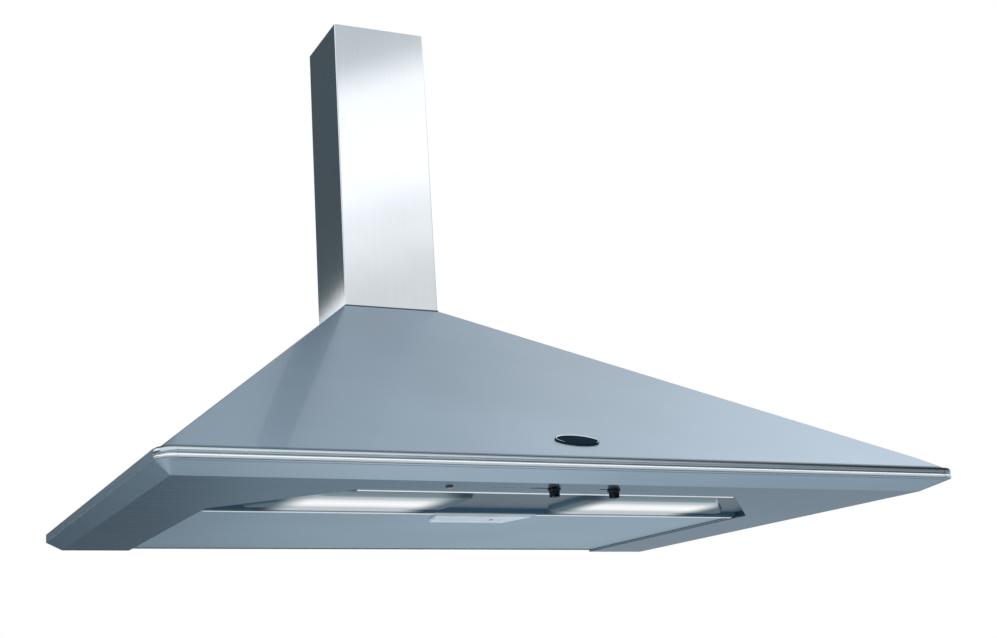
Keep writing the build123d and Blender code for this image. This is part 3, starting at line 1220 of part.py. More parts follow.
def make_upper_cover():
    """Sliding chimney cover inside the lower one, louvred near its top."""
    low, high = FOOT_TOP + FIT, CHIMNEY_RISE - TOP_STEP
    half = upper_cover_half()
    depth = CHIMNEY_DEPTH - SHEET - TELESCOPE_GAP
    back = -FIT - SHEET - TELESCOPE_GAP
    cover = prism(plan(half, depth, FOLD_RADIUS / 2, low, back), high - low)
    cover -= prism(plan(half - SHEET, depth - SHEET, FOLD_RADIUS / 4, low, SHEET), high - low)
    middle = (back - depth) / 2
    louvre = (middle - LOUVRE_LENGTH / 2, middle + LOUVRE_LENGTH / 2)
    for row in range(LOUVRES):
        z = high - LOUVRE_TOP - row * LOUVRE_PITCH
        cover -= block((-CHIMNEY_WIDTH, CHIMNEY_WIDTH), louvre, (z - LOUVRE_HEIGHT / 2, z + LOUVRE_HEIGHT / 2))
    return cover


def make_ceiling_bracket():
    """Joggled strip at the wall that the upper cover is clipped to, with two wall holes."""
    high = CHIMNEY_RISE - TOP_STEP - BRACKET_BELOW_TOP
    low = high - BRACKET_HEIGHT
    outer = upper_cover_half() - SHEET - FIT
    web = CHIMNEY_WIDTH / 2 - SHEET - COVER_RETURN - 2 * TELESCOPE_GAP
    step = -BRACKET_SHEET
    strip = block((-web, web), (step, 0), (low, high))
    ear = block((web - 2 * BRACKET_SHEET, outer), (2 * step - TELESCOPE_GAP, step - TELESCOPE_GAP), (low, high))
    ear += block((web - 2 * BRACKET_SHEET, web), (2 * step, step / 2), (low, high))
    ear += block((outer - BRACKET_SHEET, outer), (-BRACKET_TAB, step - TELESCOPE_GAP), (low, high))
    strip += ear + mirrored(ear)
    hole = rod_y(CEILING_HOLE_RADIUS, (3 * step, -step), CEILING_HOLE_SPACING / 2, (low + high) / 2)
    return strip - hole - mirrored(hole)


def make_gland():
    """Grommet for the supply cable, through the canopy's top."""
    seat = CANOPY_RISE + FIT
    gland = rod_z(GLAND_RADIUS, (CANOPY_RISE - GLAND_DEPTH, seat + GLAND_HEAD / 2), GLAND_X, GLAND_Y)
    gland += rod_z(GLAND_RADIUS + GLAND_HEAD, (seat, seat + GLAND_HEAD), GLAND_X, GLAND_Y)
    below = CANOPY_RISE - SHEET - FIT
    gland += rod_z(GLAND_RADIUS + GLAND_HEAD / 2, (below - GLAND_HEAD, below), GLAND_X, GLAND_Y)
    return gland - rod_z(GLAND_BORE, (CANOPY_RISE - 2 * GLAND_DEPTH, CANOPY_RISE + 2 * GLAND_DEPTH),
                         GLAND_X, GLAND_Y)


# ---- electrical parts on the wall panel ----

def make_junction_box():
    """Terminal box on the wall panel, open at the front under its lid."""
    back = WALL_FACE - FIT
    spans = (JUNCTION_X, (back - JUNCTION_DEPTH, back), JUNCTION_Z)
    box = block(*spans)
    wall = JUNCTION_WALL
    box -= block((JUNCTION_X[0] + wall, JUNCTION_X[1] - wall), (back - JUNCTION_DEPTH - wall, back - wall),
                 (JUNCTION_Z[0] + wall, JUNCTION_Z[1] - wall))
    middle = sum(JUNCTION_X) / 2
    entry = (JUNCTION_Z[1] - 2 * wall, JUNCTION_Z[1] + wall)
    return box - rod_z(GLAND_BORE, entry, middle, back - JUNCTION_DEPTH / 2)


def make_junction_lid():
    """Lid of the terminal box, with a locating rib."""
    front = WALL_FACE - FIT - JUNCTION_DEPTH
    wall = JUNCTION_WALL
    lid = block(JUNCTION_X, (front - FIT - wall, front - FIT), JUNCTION_Z)
    lid = fillet(lid.edges().group_by(Axis.Y)[0], wall / 2)
    inset = wall + FIT
    spigot = block((JUNCTION_X[0] + inset, JUNCTION_X[1] - inset), (front - FIT - wall / 2, front + wall),
                   (JUNCTION_Z[0] + inset, JUNCTION_Z[1] - inset))
    inner = inset + wall
    spigot -= block((JUNCTION_X[0] + inner, JUNCTION_X[1] - inner), (front - wall / 4, front + 2 * wall),
                    (JUNCTION_Z[0] + inner, JUNCTION_Z[1] - inner))
    return lid + spigot


def make_capacitor():
    """Round motor capacitor with its stud, held by a clip on the wall panel."""
    y = WALL_FACE - FIT - CLIP_SHEET - FIT - CAPACITOR_RADIUS
    can = rod_z(CAPACITOR_RADIUS, (CAPACITOR_Z, CAPACITOR_Z + CAPACITOR_LENGTH), CAPACITOR_X, y)
    can = fillet(can.edges().filter_by(GeomType.CIRCLE), SHEET)
    for side in (-1, 1):
        can += block((CAPACITOR_X + side * TAG_WIDTH - SHEET, CAPACITOR_X + side * TAG_WIDTH + SHEET),
                     (y - TAG_THICK, y + TAG_THICK),
                     (CAPACITOR_Z + CAPACITOR_LENGTH - SHEET, CAPACITOR_Z + CAPACITOR_LENGTH + TAG_HEIGHT))
    return can


def make_capacitor_clip():
    """Spring clip round the capacitor."""
    back = WALL_FACE - FIT
    y = back - CLIP_SHEET - FIT - CAPACITOR_RADIUS
    z = CAPACITOR_Z + CAPACITOR_LENGTH / 2
    ends = (z - CLIP_HEIGHT / 2, z + CLIP_HEIGHT / 2)
    inner = CAPACITOR_RADIUS + FIT
    clip = rod_z(inner + CLIP_SHEET, ends, CAPACITOR_X, y) - rod_z(inner, ends, CAPACITOR_X, y)
    mouth = CAPACITOR_RADIUS * 0.8
    clip -= block((CAPACITOR_X - mouth, CAPACITOR_X + mouth), (y - 2 * inner, y - inner / 2), ends)
    return clip


def seat_screws(places):
    """Screws down through a lip into the frame's seat."""
    seat = SEAT_TOP + SHEET
    return group([Pos(x, y, seat) * screw(SHEET + FIT + FRAME_SHEET + SCREW_RADIUS) for x, y in places])


def make_foot_screws():
    """Screws down through the foot bracket's tabs into the canopy's top."""
    seat = CANOPY_RISE + FIT + FOOT_SHEET
    return group([Pos(x, y, seat) * screw(FOOT_SHEET + FIT + SHEET + SCREW_RADIUS) for x, y in foot_screws()])


# ---- write every sub-part ----

def write_pair(name, shape):
    """Write a right-hand piece and its mirror image."""
    save(f"right_{name}", shape)
    save(f"left_{name}", mirrored(shape))


SINGLE_PARTS = {
    "canopy_shell": make_canopy,
    "canopy_top_plate": make_canopy_top,
    "wall_panel": make_wall_panel,
    "base_frame": make_base_frame,
    "front_rail": make_front_rail,
    "emblem_plate": make_emblem,
    "suction_panel": make_panel,
    "panel_latch": make_latch,
    "latch_keeper": make_latch_keeper,
    "lamp_tray": make_lamp_tray,
    "recess_trim": make_recess_trim,
    "control_cover": make_control_cover,
    "pilot_lens": make_pilot_lens,
    "filter_carrier": make_carrier,
    "scroll_band": make_scroll_band,
    "impeller": make_impeller,
    "motor_shaft": make_shaft,
    "motor": make_motor,
    "motor_bracket": make_motor_bracket,
    "motor_grommets": make_motor_grommets,
    "motor_screws": make_motor_screws,
    "blower_screws": make_blower_screws,
    "outlet_spigot": make_spigot,
    "flap_pin": make_flap_pin,
    "chimney_foot_bracket": make_foot_bracket,
    "chimney_foot_screws": make_foot_screws,
    "lower_chimney_cover": make_lower_cover,
    "upper_chimney_cover": make_upper_cover,
    "ceiling_bracket": make_ceiling_bracket,
    "supply_gland": make_gland,
    "junction_box": make_junction_box,
    "junction_lid": make_junction_lid,
    "capacitor": make_capacitor,
    "capacitor_clip": make_capacitor_clip,
}
LEFT_AND_RIGHT_PARTS = {
    "rail": make_right_rail,
    "corner_cap": make_right_cap,
    "lamp_lens": make_right_lens,
    "filter_catch": make_right_catch,
    "scroll_side": make_right_side_plate,
}
IDENTICAL_PAIRS = {
    "panel_pivot_pins": make_panel_pin,
    "hinge_brackets": make_hinge_bracket,
    "reflectors": make_right_reflector,
    "lamp_tubes": make_right_bulb,
    "lamp_caps": make_right_bulb_cap,
    "lamp_sockets": make_right_socket,
    "filter_frames": make_right_filter_frame,
    "filter_meshes": make_right_mesh,
    "blower_brackets": make_right_blower_bracket,
}

for node, make in SINGLE_PARTS.items():
    save(node, make())
for node, make in LEFT_AND_RIGHT_PARTS.items():
    write_pair(node, make())
for node, make in IDENTICAL_PAIRS.items():
    save(node, both_sides(make()))
save("fan_slider", make_slider(FAN_KNOB_X))
save("fan_switch", make_switch(FAN_KNOB_X, FAN_TRAVEL))
save("light_slider", make_slider(LIGHT_KNOB_X))
save("light_switch", make_switch(LIGHT_KNOB_X, LIGHT_TRAVEL))
save("front_flap", make_flap(towards_wall=False))
save("rear_flap", make_flap(towards_wall=True))
save("frame_screws", seat_screws(tray_screws() + carrier_screws()))
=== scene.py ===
from math import cos, pi, sin

import bmesh
import bpy
from mathutils import Matrix, Vector


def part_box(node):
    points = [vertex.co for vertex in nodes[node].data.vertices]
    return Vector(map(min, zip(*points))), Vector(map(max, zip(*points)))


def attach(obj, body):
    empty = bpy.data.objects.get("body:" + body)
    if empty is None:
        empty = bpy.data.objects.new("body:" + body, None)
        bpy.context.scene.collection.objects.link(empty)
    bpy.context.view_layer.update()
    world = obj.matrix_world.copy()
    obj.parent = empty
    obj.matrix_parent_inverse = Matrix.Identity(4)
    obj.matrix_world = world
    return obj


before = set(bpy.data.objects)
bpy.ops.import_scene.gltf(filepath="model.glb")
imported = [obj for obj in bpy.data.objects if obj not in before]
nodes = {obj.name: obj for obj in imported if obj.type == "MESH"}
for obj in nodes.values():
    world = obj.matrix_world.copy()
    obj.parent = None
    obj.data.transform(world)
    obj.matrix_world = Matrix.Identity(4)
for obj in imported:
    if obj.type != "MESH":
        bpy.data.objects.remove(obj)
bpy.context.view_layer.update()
scene = bpy.context.scene
MM = 0.001
ALONG_X, ALONG_Y, ALONG_Z = Vector((1, 0, 0)), Vector((0, 1, 0)), Vector((0, 0, 1))

# ---- camera: fitted to the photograph's 997 x 638 frame ----
CAMERA_AT = Vector((-0.73021, -1.81079, -0.43803))
CAMERA_YAW = 0.37249        # radians from +Y towards +X
CAMERA_PITCH = 0.25185      # radians above the horizon
CAMERA_ROLL = -0.0407
FRAME_WIDTH, FRAME_HEIGHT = 997, 638
FOCAL_PIXELS = 1401.22
PRINCIPAL_X, PRINCIPAL_Y = 350, 350
SENSOR = 36.0


def add_camera():
    """The photograph's viewpoint, with the lens shift that its crop needs."""
    ahead = Vector((sin(CAMERA_YAW) * cos(CAMERA_PITCH), cos(CAMERA_YAW) * cos(CAMERA_PITCH),
                    sin(CAMERA_PITCH)))
    level_right = Vector((cos(CAMERA_YAW), -sin(CAMERA_YAW), 0))
    level_up = level_right.cross(ahead)
    right = cos(CAMERA_ROLL) * level_right + sin(CAMERA_ROLL) * level_up
    up = cos(CAMERA_ROLL) * level_up - sin(CAMERA_ROLL) * level_right
    data = bpy.data.cameras.new("photo_camera")
    data.sensor_width = SENSOR
    data.lens = FOCAL_PIXELS / FRAME_WIDTH * SENSOR
    data.shift_x = (FRAME_WIDTH / 2 - PRINCIPAL_X) / FRAME_WIDTH
    data.shift_y = (PRINCIPAL_Y - FRAME_HEIGHT / 2) / FRAME_WIDTH
    camera = bpy.data.objects.new("photo_camera", data)
    camera.matrix_world = Matrix((
        (right.x, up.x, -ahead.x, CAMERA_AT.x), (right.y, up.y, -ahead.y, CAMERA_AT.y),
        (right.z, up.z, -ahead.z, CAMERA_AT.z), (0, 0, 0, 1)))
    scene.collection.objects.link(camera)
    scene.camera = camera


# ---- shader nodes ----
COLOUR_A, COLOUR_B, COLOUR_OUT = 6, 7, 2        # the Mix node's colour sockets
NOISE_LOW, NOISE_HIGH = 0.25, 0.75              # noise seldom leaves this range
DARK_AT, LIGHT_AT = 0.3, 0.7                    # values at which a two-tone pattern has its tones


class Graph:
    """The shader nodes of one material or of the world, with short calls for what repeats."""

    def __init__(self, tree):
        self.nodes, self.links = tree.nodes, tree.links

    def put(self, socket, value):
        """Links another node's output to an input, or gives the input a fixed value."""
        if isinstance(value, bpy.types.NodeSocket):
            self.links.new(value, socket)
        else:
            socket.default_value = value

    def fill(self, node, **values):
        """Capitalised names are the node's inputs, with _ for a space; the others are its properties."""
        for name, value in values.items():
            if name[0].isupper():
                self.put(node.inputs[name.replace("_", " ")], value)
            else:
                setattr(node, name, value)
        return node

    def add(self, kind, **values):
        """A new node with its inputs and properties filled."""
        return self.fill(self.nodes.new("ShaderNode" + kind), **values)

    def surface(self, **values):
        """Fills inputs of the material's own shader."""
        return self.fill(self.nodes["Principled BSDF"], **values)

    def coordinates(self):
        """Where a point lies in its object."""
        return self.add("TexCoord").outputs["Object"]

    def place(self, axis):
        """Where a point lies along one axis of its object."""
        return self.add("SeparateXYZ", Vector=self.coordinates()).outputs[axis]

    def stretched(self, scale=(1, 1, 1)):
        """Object coordinates stretched by a scale along each axis."""
        return self.add("Mapping", Vector=self.coordinates(), Scale=scale).outputs["Vector"]

    def noise(self, cells, detail=2):
        """Noise with so many cells per metre along each axis."""
        return self.add("TexNoise", Vector=self.stretched(cells), Scale=1, Detail=detail).outputs["Fac"]

    def ranged(self, value, low, high, to=(0, 1), **kind):
        """A value carried from low..high to another range."""
        return self.add("MapRange", Value=value, From_Min=low, From_Max=high, To_Min=to[0], To_Max=to[1],
                        **kind).outputs["Result"]

    def varied(self, value, low, high):
        """A noise value carried to low..high."""
        return self.ranged(value, NOISE_LOW, NOISE_HIGH, (low, high))

    def ramp(self, value, stops, interpolation="EASE"):
        """Colours along a 0..1 value; stops are (place, colour)."""
        node = self.add("ValToRGB", Fac=value)
        node.color_ramp.interpolation = interpolation
        elements = node.color_ramp.elements
        while len(elements) < len(stops):
            elements.new(0.5)
        for element, (at, colour) in zip(elements, stops):
            element.position = at
            element.color = (*colour, 1)
        return node.outputs["Color"]

    def two_tone(self, value, dark, light):
        """Colour between two tones by a 0..1 value."""
        return self.ramp(value, ((DARK_AT, dark), (LIGHT_AT, light)), "LINEAR")

    def along(self, axis, low, high, stops):
        """Colours along one axis of the object, between two places."""
        return self.ramp(self.ranged(self.place(axis), low, high), stops)

    def mix(self, first, second, factor=1, blend_type="MIX"):
        """Two colours mixed, by the second's share."""
        node = self.add("Mix", data_type="RGBA", blend_type=blend_type, Factor=factor)
        self.put(node.inputs[COLOUR_A], first)
        self.put(node.inputs[COLOUR_B], second)
        return node.outputs[COLOUR_OUT]

    def product(self, first, second):
        """Product of two colours."""
        return self.mix(first, second, blend_type="MULTIPLY")

    def crossfade(self, value, low, high, first, second):
        """First colour where the value is below low, second where it is above high."""
        return self.mix(first, second, self.ranged(value, low, high, interpolation_type="SMOOTHSTEP"))

    def math(self, operation, *values):
        """Result of an operation on numbers."""
        node = self.add("Math", operation=operation)
        for socket, value in zip(node.inputs, values):
            self.put(socket, value)
        return node.outputs["Value"]

    def mix_shader(self, factor, first, second):
        """Two shaders mixed, by the second's share."""
        node = self.add("MixShader", Fac=factor)
        self.put(node.inputs[1], first)
        self.put(node.inputs[2], second)
        return node.outputs["Shader"]

    def bump(self, height, strength, distance):
        """Roughens the surface by a height."""
        node = self.add("Bump", Strength=strength, Distance=distance, Height=height)
        self.surface(Normal=node.outputs["Normal"])


def new_material(name):
    """An empty node material and its graph."""
    material = bpy.data.materials.new(name)
    material.use_nodes = True
    return material, Graph(material.node_tree)


def shade(colour, factor):
    """A colour made darker or lighter."""
    return tuple(min(1.0, channel * factor) for channel in colour)


# ---- materials ----
GRAIN_ALONG = 6             # noise cells per metre along the brushing
GRAIN_ACROSS = 2600         # and across it
CLOUDS = (5, 5, 5)          # cells per metre of the softer patterns, along X, Y and Z
SMEARS = (40, 40, 160)
DRIFT = (30, 30, 30)
SPARKS = (900, 900, 900)
FINE_BUMP = 0.2 * MM
COARSE_BUMP = 0.6 * MM
PATCHES = 130               # crystals per metre on zinc-coated sheet
MESH_CELLS = 420            # cells per metre in the filters' mesh
FLUTES = 60                 # scale of the lenses' flutes
WHITE = (1, 1, 1)

# the *_EDGE colours are what each steel mirrors edge-on
CANOPY_BLUE, CANOPY_EDGE = (0.335, 0.430, 0.520), (0.75, 0.78, 0.82)
CHIMNEY_TONE = (0.65, 0.685, 0.72)
UNDERSIDE_TONE, UNDERSIDE_EDGE = (0.360, 0.440, 0.510), (0.34, 0.40, 0.45)
PANEL_TONE, PANEL_EDGE = (0.42, 0.49, 0.54), (0.49, 0.59, 0.68)
TRAY_TONE = (0.070, 0.122, 0.170)
LENS_TONE = (0.07, 0.11, 0.14)

# painted light and shade up the rail, at its left end and at its right: highlight on the bead, shade in the
# groove, the band, and a shadow line along its top edge
RAIL_LIGHT_AND_SHADE_LEFT = ((0.00, (0.30, 0.33, 0.36)), (0.13, WHITE), (0.33, WHITE), (0.40, (0.34, 0.38, 0.41)),
             (0.46, (0.60, 0.66, 0.71)), (0.80, (0.66, 0.72, 0.76)), (0.92, (0.10, 0.14, 0.17)))
RAIL_LIGHT_AND_SHADE_RIGHT = ((0.00, (0.20, 0.24, 0.27)), (0.13, WHITE), (0.33, WHITE), (0.40, (0.22, 0.26, 0.29)),
              (0.46, (0.36, 0.41, 0.45)), (0.68, (0.34, 0.39, 0.43)), (0.78, (0.01, 0.02, 0.03)))

# painted shadow on the canopy's lowest millimetres above the rail, at the left and at the right
FOOT_SHADOW_REACH = 4.4 * MM
FOOT_SHADOW_LEFT = ((0.30, (0.50, 0.54, 0.58)), (0.70, WHITE))
FOOT_SHADOW_RIGHT = ((0.45, (0.01, 0.02, 0.03)), (0.75, WHITE))

# the lenses' glow, from the inner end to the outer and from front to back
GLOW = 0.86
GLOW_DIM, GLOW_LIT = (0.01, 0.03, 0.05), (1.0, 0.98, 0.96)
GLOW_ALONG = ((0.06, GLOW_DIM), (0.21, GLOW_LIT), (0.72, GLOW_LIT), (0.88, GLOW_DIM))
GLOW_ACROSS = ((0.00, (0.12, 0.17, 0.19)), (0.16, (0.42, 0.48, 0.51)), (0.42, (0.90, 0.89, 0.88)),
               (0.55, WHITE), (0.68, (0.92, 0.92, 0.91)), (0.86, (0.52, 0.56, 0.58)),
               (1.00, (0.34, 0.40, 0.44)))

# and the glow painted on the tray behind them, where their light would fall
SPILL = 0.6
SPILL_OVERLAP = 6 * MM
SPILL_ACROSS = ((0.00, (0, 0, 0)), (0.35, (0.85, 0.88, 0.90)), (1.00, (0.80, 0.84, 0.88)))


def brushed(name, colour, roughness=0.3, along="X", depth=0.05, spread=0.05, tone=0.05, edge=WHITE):
    """Stainless sheet with a fine straight grain, faint streaks and a soft cloudiness."""
    material, graph = new_material(name)
    cells = [GRAIN_ACROSS] * 3
    cells["XYZ".index(along)] = GRAIN_ALONG
    grain = graph.noise(cells, detail=3)
    cloud = graph.noise(CLOUDS, detail=3)
    tint = graph.two_tone(cloud, shade(colour, 1 - tone), shade(colour, 1 + tone))
    streak = graph.two_tone(grain, shade(WHITE, 1 - tone), WHITE)
    graph.bump(grain, depth, FINE_BUMP)
    graph.surface(Base_Color=graph.product(tint, streak), Metallic=1, Specular_Tint=(*edge, 1),
                  Roughness=graph.varied(grain, roughness - spread, roughness + spread))
    return material


def polished(name, colour, roughness=0.07):
    """Bright plated metal with faint smears."""
    material, graph = new_material(name)
    smear = graph.noise(SMEARS, detail=4)
    graph.surface(Base_Color=graph.two_tone(smear, shade(colour, 0.95), colour), Metallic=1,
                  Roughness=graph.varied(smear, 0.6 * roughness, 1.6 * roughness))
    return material


def painted_light_bands(material, first, second, low, high):
    """Multiplies a metal's colour by painted light and shade that run up it, blended from its left end to its
    right.
    """
    graph = Graph(material.node_tree)
    metal = graph.nodes["Principled BSDF"].inputs["Base Color"].links[0].from_socket
    left, right = (graph.along("Z", low[2], high[2], stops) for stops in (first, second))
    # painted light and shade, lighter or darker by height and from one end to the other
    tones = graph.crossfade(graph.place("X"), low[0], high[0], left, right)
    graph.surface(Base_Color=graph.product(metal, tones))
    return material


def canopy_steel(name):
    """Brushed steel under a thin clear gloss, with a painted shadow along its foot above the rail, darkest at
    the right.
    """
    material = brushed(name, CANOPY_BLUE, roughness=0.32, depth=0.03, edge=CANOPY_EDGE)
    Graph(material.node_tree).surface(Coat_Weight=0.35, Coat_Roughness=0.04)
    # painted shadow along the canopy's foot, just above the rail
    rail_low, rail_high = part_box("front_rail")
    low, high = (rail_low[0], 0, rail_high[2]), (rail_high[0], 0, rail_high[2] + FOOT_SHADOW_REACH)
    return painted_light_bands(material, FOOT_SHADOW_LEFT, FOOT_SHADOW_RIGHT, low, high)


def rail_with_painted_light(name, colour):
    """Plated rail with painted light and shade up it: a highlight on the bead along its foot, shade in its
    groove, a satin band above, and a shadow line along its top edge, darker towards the right.
    """
    return painted_light_bands(polished(name, colour, roughness=0.2), RAIL_LIGHT_AND_SHADE_LEFT, RAIL_LIGHT_AND_SHADE_RIGHT, *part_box("front_rail"))


def moulded(name, colour, roughness=0.45, depth=0.12, gloss=0.5):
    """Moulded plastic with a fine spark-eroded grain and a slight tone drift."""
    material, graph = new_material(name)
    drift = graph.noise(DRIFT)
    fine = graph.noise(SPARKS)
    graph.bump(fine, depth, FINE_BUMP)
    graph.surface(Base_Color=graph.two_tone(drift, shade(colour, 0.9), shade(colour, 1.08)),
                  Roughness=graph.varied(fine, roughness - 0.06, roughness + 0.06), Specular_IOR_Level=gloss)
    return material


def galvanised(name, colour=(0.40, 0.42, 0.44)):
    """Zinc-coated sheet with crystalline patches."""
    material, graph = new_material(name)
    cells = graph.add("TexVoronoi", Vector=graph.stretched(), Scale=PATCHES)
    patch = graph.add("RGBToBW", Color=cells.outputs["Color"]).outputs["Val"]
    graph.surface(Base_Color=graph.two_tone(patch, shade(colour, 0.90), shade(colour, 1.08)),
                  Roughness=graph.varied(patch, 0.38, 0.52), Metallic=0.85)
    return material


def expanded_mesh(name, colour=(0.45, 0.46, 0.47)):
    """Layered aluminium mesh: fine irregular cells in colour and bump."""
    material, graph = new_material(name)
    cells = graph.add("TexVoronoi", feature="DISTANCE_TO_EDGE", Vector=graph.stretched(), Scale=MESH_CELLS)
    wires = graph.ranged(cells.outputs["Distance"], 0, 0.25, (1, 0))
    graph.bump(wires, 0.6, COARSE_BUMP)
    graph.surface(Base_Color=graph.two_tone(wires, shade(colour, 0.25), colour), Metallic=0.9, Roughness=0.45)
    return material


def glowing_lens(name, low, high):
    """Frosted fluted lens, lit from behind by a tube along its middle, dimmer towards its rim."""
    material, graph = new_material(name)
    inner, outer = sorted((low[0], high[0]), key=abs)
    glow = graph.product(graph.along("X", inner, outer, GLOW_ALONG),
                         graph.along("Y", low[1], high[1], GLOW_ACROSS))
    flutes = graph.add("TexWave", Vector=graph.stretched(), Scale=FLUTES).outputs["Fac"]
    graph.bump(flutes, 0.3, COARSE_BUMP)
    graph.surface(Emission_Color=glow, Emission_Strength=GLOW, Base_Color=(*LENS_TONE, 1), Roughness=0.6,
                  Specular_IOR_Level=0.1)
    return material


def tray_with_painted_glow(name):
    """Satin lamp tray, with a painted glow on its back lip beside the lenses."""
    material = brushed(name, TRAY_TONE, roughness=0.36, edge=shade(UNDERSIDE_EDGE, 0.8))
    graph = Graph(material.node_tree)
    lens_low, lens_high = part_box("right_lamp_lens")
    left, right = (graph.along("X", side * lens_low[0], side * lens_high[0], GLOW_ALONG) for side in (-1, 1))
    across = graph.along("Y", lens_high[1] - SPILL_OVERLAP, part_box("lamp_tray")[1][1], SPILL_ACROSS)
    painted_glow = graph.product(graph.mix(left, right, blend_type="LIGHTEN"), across)
    # painted glow: emission on the tray stands in for the lenses' light falling on it
    graph.surface(Metallic=0.3, Specular_IOR_Level=0.15, Emission_Color=painted_glow, Emission_Strength=SPILL)
    return material


def opal_glass(name):
    """Opal glass of the lamps, faintly clouded."""
    material, graph = new_material(name)
    cloud = graph.noise(DRIFT)
    graph.surface(Base_Color=graph.two_tone(cloud, (0.86, 0.87, 0.85), (0.95, 0.95, 0.93)), Roughness=0.2,
                  Emission_Color=(1, 0.98, 0.94, 1), Emission_Strength=0.6)
    return material


def paint(material, *names):
    """Gives CAD nodes a material."""
    for name in names:
        slots = nodes[name].data.materials
        slots.clear()
        slots.append(material)


def paint_outside():
    """Finishes of the canopy, its rails, the chimney and the underside."""
    paint(canopy_steel("canopy_brushed"), "canopy_shell", "canopy_top_plate")
    paint(brushed("chimney_brushed", CHIMNEY_TONE, roughness=0.055, along="Z", depth=0.015, spread=0.012),
          "lower_chimney_cover", "upper_chimney_cover")
    # the rail's colour holds painted highlights and painted shade
    paint(rail_with_painted_light("rail_chrome", (0.94, 0.96, 0.98)), "front_rail", "left_corner_cap", "right_corner_cap")
    # side strips: the canopy's steel made lighter, as painted light
    paint(brushed("strip_steel_painted_light", shade(CANOPY_BLUE, 1.5), along="Y"), "left_rail", "right_rail")
    paint(brushed("underside_brushed", UNDERSIDE_TONE, roughness=0.24, depth=0.04, edge=UNDERSIDE_EDGE),
          "base_frame")
    paint(brushed("panel_satin", PANEL_TONE, roughness=0.34, edge=PANEL_EDGE), "suction_panel")
    paint(moulded("latch_grey", (0.66, 0.79, 0.90), roughness=0.5, gloss=0.3), "panel_latch")
    paint(moulded("emblem_field", (0.012, 0.028, 0.045), roughness=0.4, depth=0.03, gloss=0), "emblem_plate")


def paint_lamps():
    """Finishes of the lamp recess and what is in it."""
    paint(polished("trim_chrome", (0.84, 0.87, 0.90)), "recess_trim")
    paint(tray_with_painted_glow("tray_satin_painted_glow"), "lamp_tray")
    for side in ("left", "right"):
        paint(glowing_lens(f"{side}_lens_glow", *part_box(f"{side}_lamp_lens")), f"{side}_lamp_lens")
    paint(polished("reflector_bright", (0.88, 0.89, 0.90), roughness=0.16), "reflectors")
    paint(opal_glass("opal_glass"), "lamp_tubes")
    paint(polished("cap_brass", (0.72, 0.58, 0.30), roughness=0.25), "lamp_caps")
    paint(moulded("socket_ceramic", (0.72, 0.70, 0.64), roughness=0.3), "lamp_sockets")


def paint_controls():
    """Finishes of the switches, their knobs and the pilot lamp."""
    paint(moulded("knob_black", (0.005, 0.009, 0.014), roughness=0.38, gloss=0.15),
          "fan_slider", "light_slider")
    paint(moulded("switch_dark", (0.05, 0.05, 0.055)), "fan_switch", "light_switch")
    paint(moulded("cover_grey", (0.10, 0.10, 0.105)), "control_cover")
    paint(moulded("pilot_red", (0.11, 0.075, 0.085), roughness=0.15, depth=0.02, gloss=0.2), "pilot_lens")


def paint_inside():
    """Finishes of the filters, the blower, the brackets and the wall side."""
    paint(galvanised("zinc_sheet"), "wall_panel", "filter_carrier", "scroll_band", "left_scroll_side",
          "right_scroll_side", "motor_bracket", "blower_brackets", "chimney_foot_bracket", "ceiling_bracket")
    paint(brushed("filter_channel", (0.55, 0.56, 0.57), roughness=0.32, along="Y"), "filter_frames")
    paint(expanded_mesh("filter_mesh_weave"), "filter_meshes")
    paint(brushed("pressed_steel", (0.42, 0.44, 0.46)), "left_filter_catch", "right_filter_catch",
          "hinge_brackets", "latch_keeper", "capacitor_clip")
    paint(polished("ground_steel", (0.55, 0.56, 0.57), roughness=0.2), "motor_shaft", "flap_pin",
          "panel_pivot_pins")
    paint(polished("zinc_screws", (0.60, 0.62, 0.62), roughness=0.3), "motor_screws", "blower_screws",
          "frame_screws", "chimney_foot_screws")
    paint(moulded("fan_grey", (0.30, 0.31, 0.32)), "impeller")
    paint(moulded("motor_enamel", (0.06, 0.065, 0.07), roughness=0.35), "motor")
    paint(moulded("rubber_black", (0.02, 0.02, 0.02), roughness=0.7, gloss=0.3),
          "motor_grommets", "supply_gland")
    paint(moulded("duct_black", (0.03, 0.03, 0.033), roughness=0.5),
          "outlet_spigot", "front_flap", "rear_flap")
    paint(moulded("box_grey", (0.52, 0.53, 0.54), roughness=0.5), "junction_box", "junction_lid")
    paint(moulded("capacitor_white", (0.70, 0.71, 0.71), roughness=0.35), "capacitor")


# ---- pieces that stay with this script ----

def mesh_from(name, work):
    """Turns a bmesh into a mesh."""
    mesh = bpy.data.meshes.new(name)
    work.to_mesh(mesh)
    work.free()
    return mesh


def add_piece(name, work, body, material, smooth=False):
    """Makes a bmesh a piece of the object, with its faces turned outwards."""
    bmesh.ops.recalc_face_normals(work, faces=work.faces)
    mesh = mesh_from(name, work)
    mesh.materials.append(material)
    for face in mesh.polygons:
        face.use_smooth = smooth
    piece = bpy.data.objects.new(name, mesh)
    scene.collection.objects.link(piece)
    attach(piece, body)


def add_circle(work, centre, first, second, radius, count):
    """Vertices round a circle that two unit vectors span."""
    angles = [2 * pi * step / count for step in range(count)]
    return [work.verts.new(centre + radius * (first * cos(angle) + second * sin(angle))) for angle in angles]


def add_skin(work, rings, closed=(0, -1)):
    """Faces from each ring of vertices to the next, and a face over each closed ring."""
    for here, there in zip(rings, rings[1:]):
        for side in range(len(here)):
            beside = (side + 1) % len(here)
            work.faces.new((here[side], here[beside], there[beside], there[side]))
    for end in closed:
        work.faces.new(rings[end])


def add_block(work, low, high):
    """Adds one plain block between two corners."""
    low, high = Vector(low), Vector(high)
    bmesh.ops.create_cube(work, size=1, matrix=Matrix.LocRotScale((low + high) / 2, None, high - low))


EMBLEM_HEIGHT = 27 * MM             # of the oval plate, up the slope


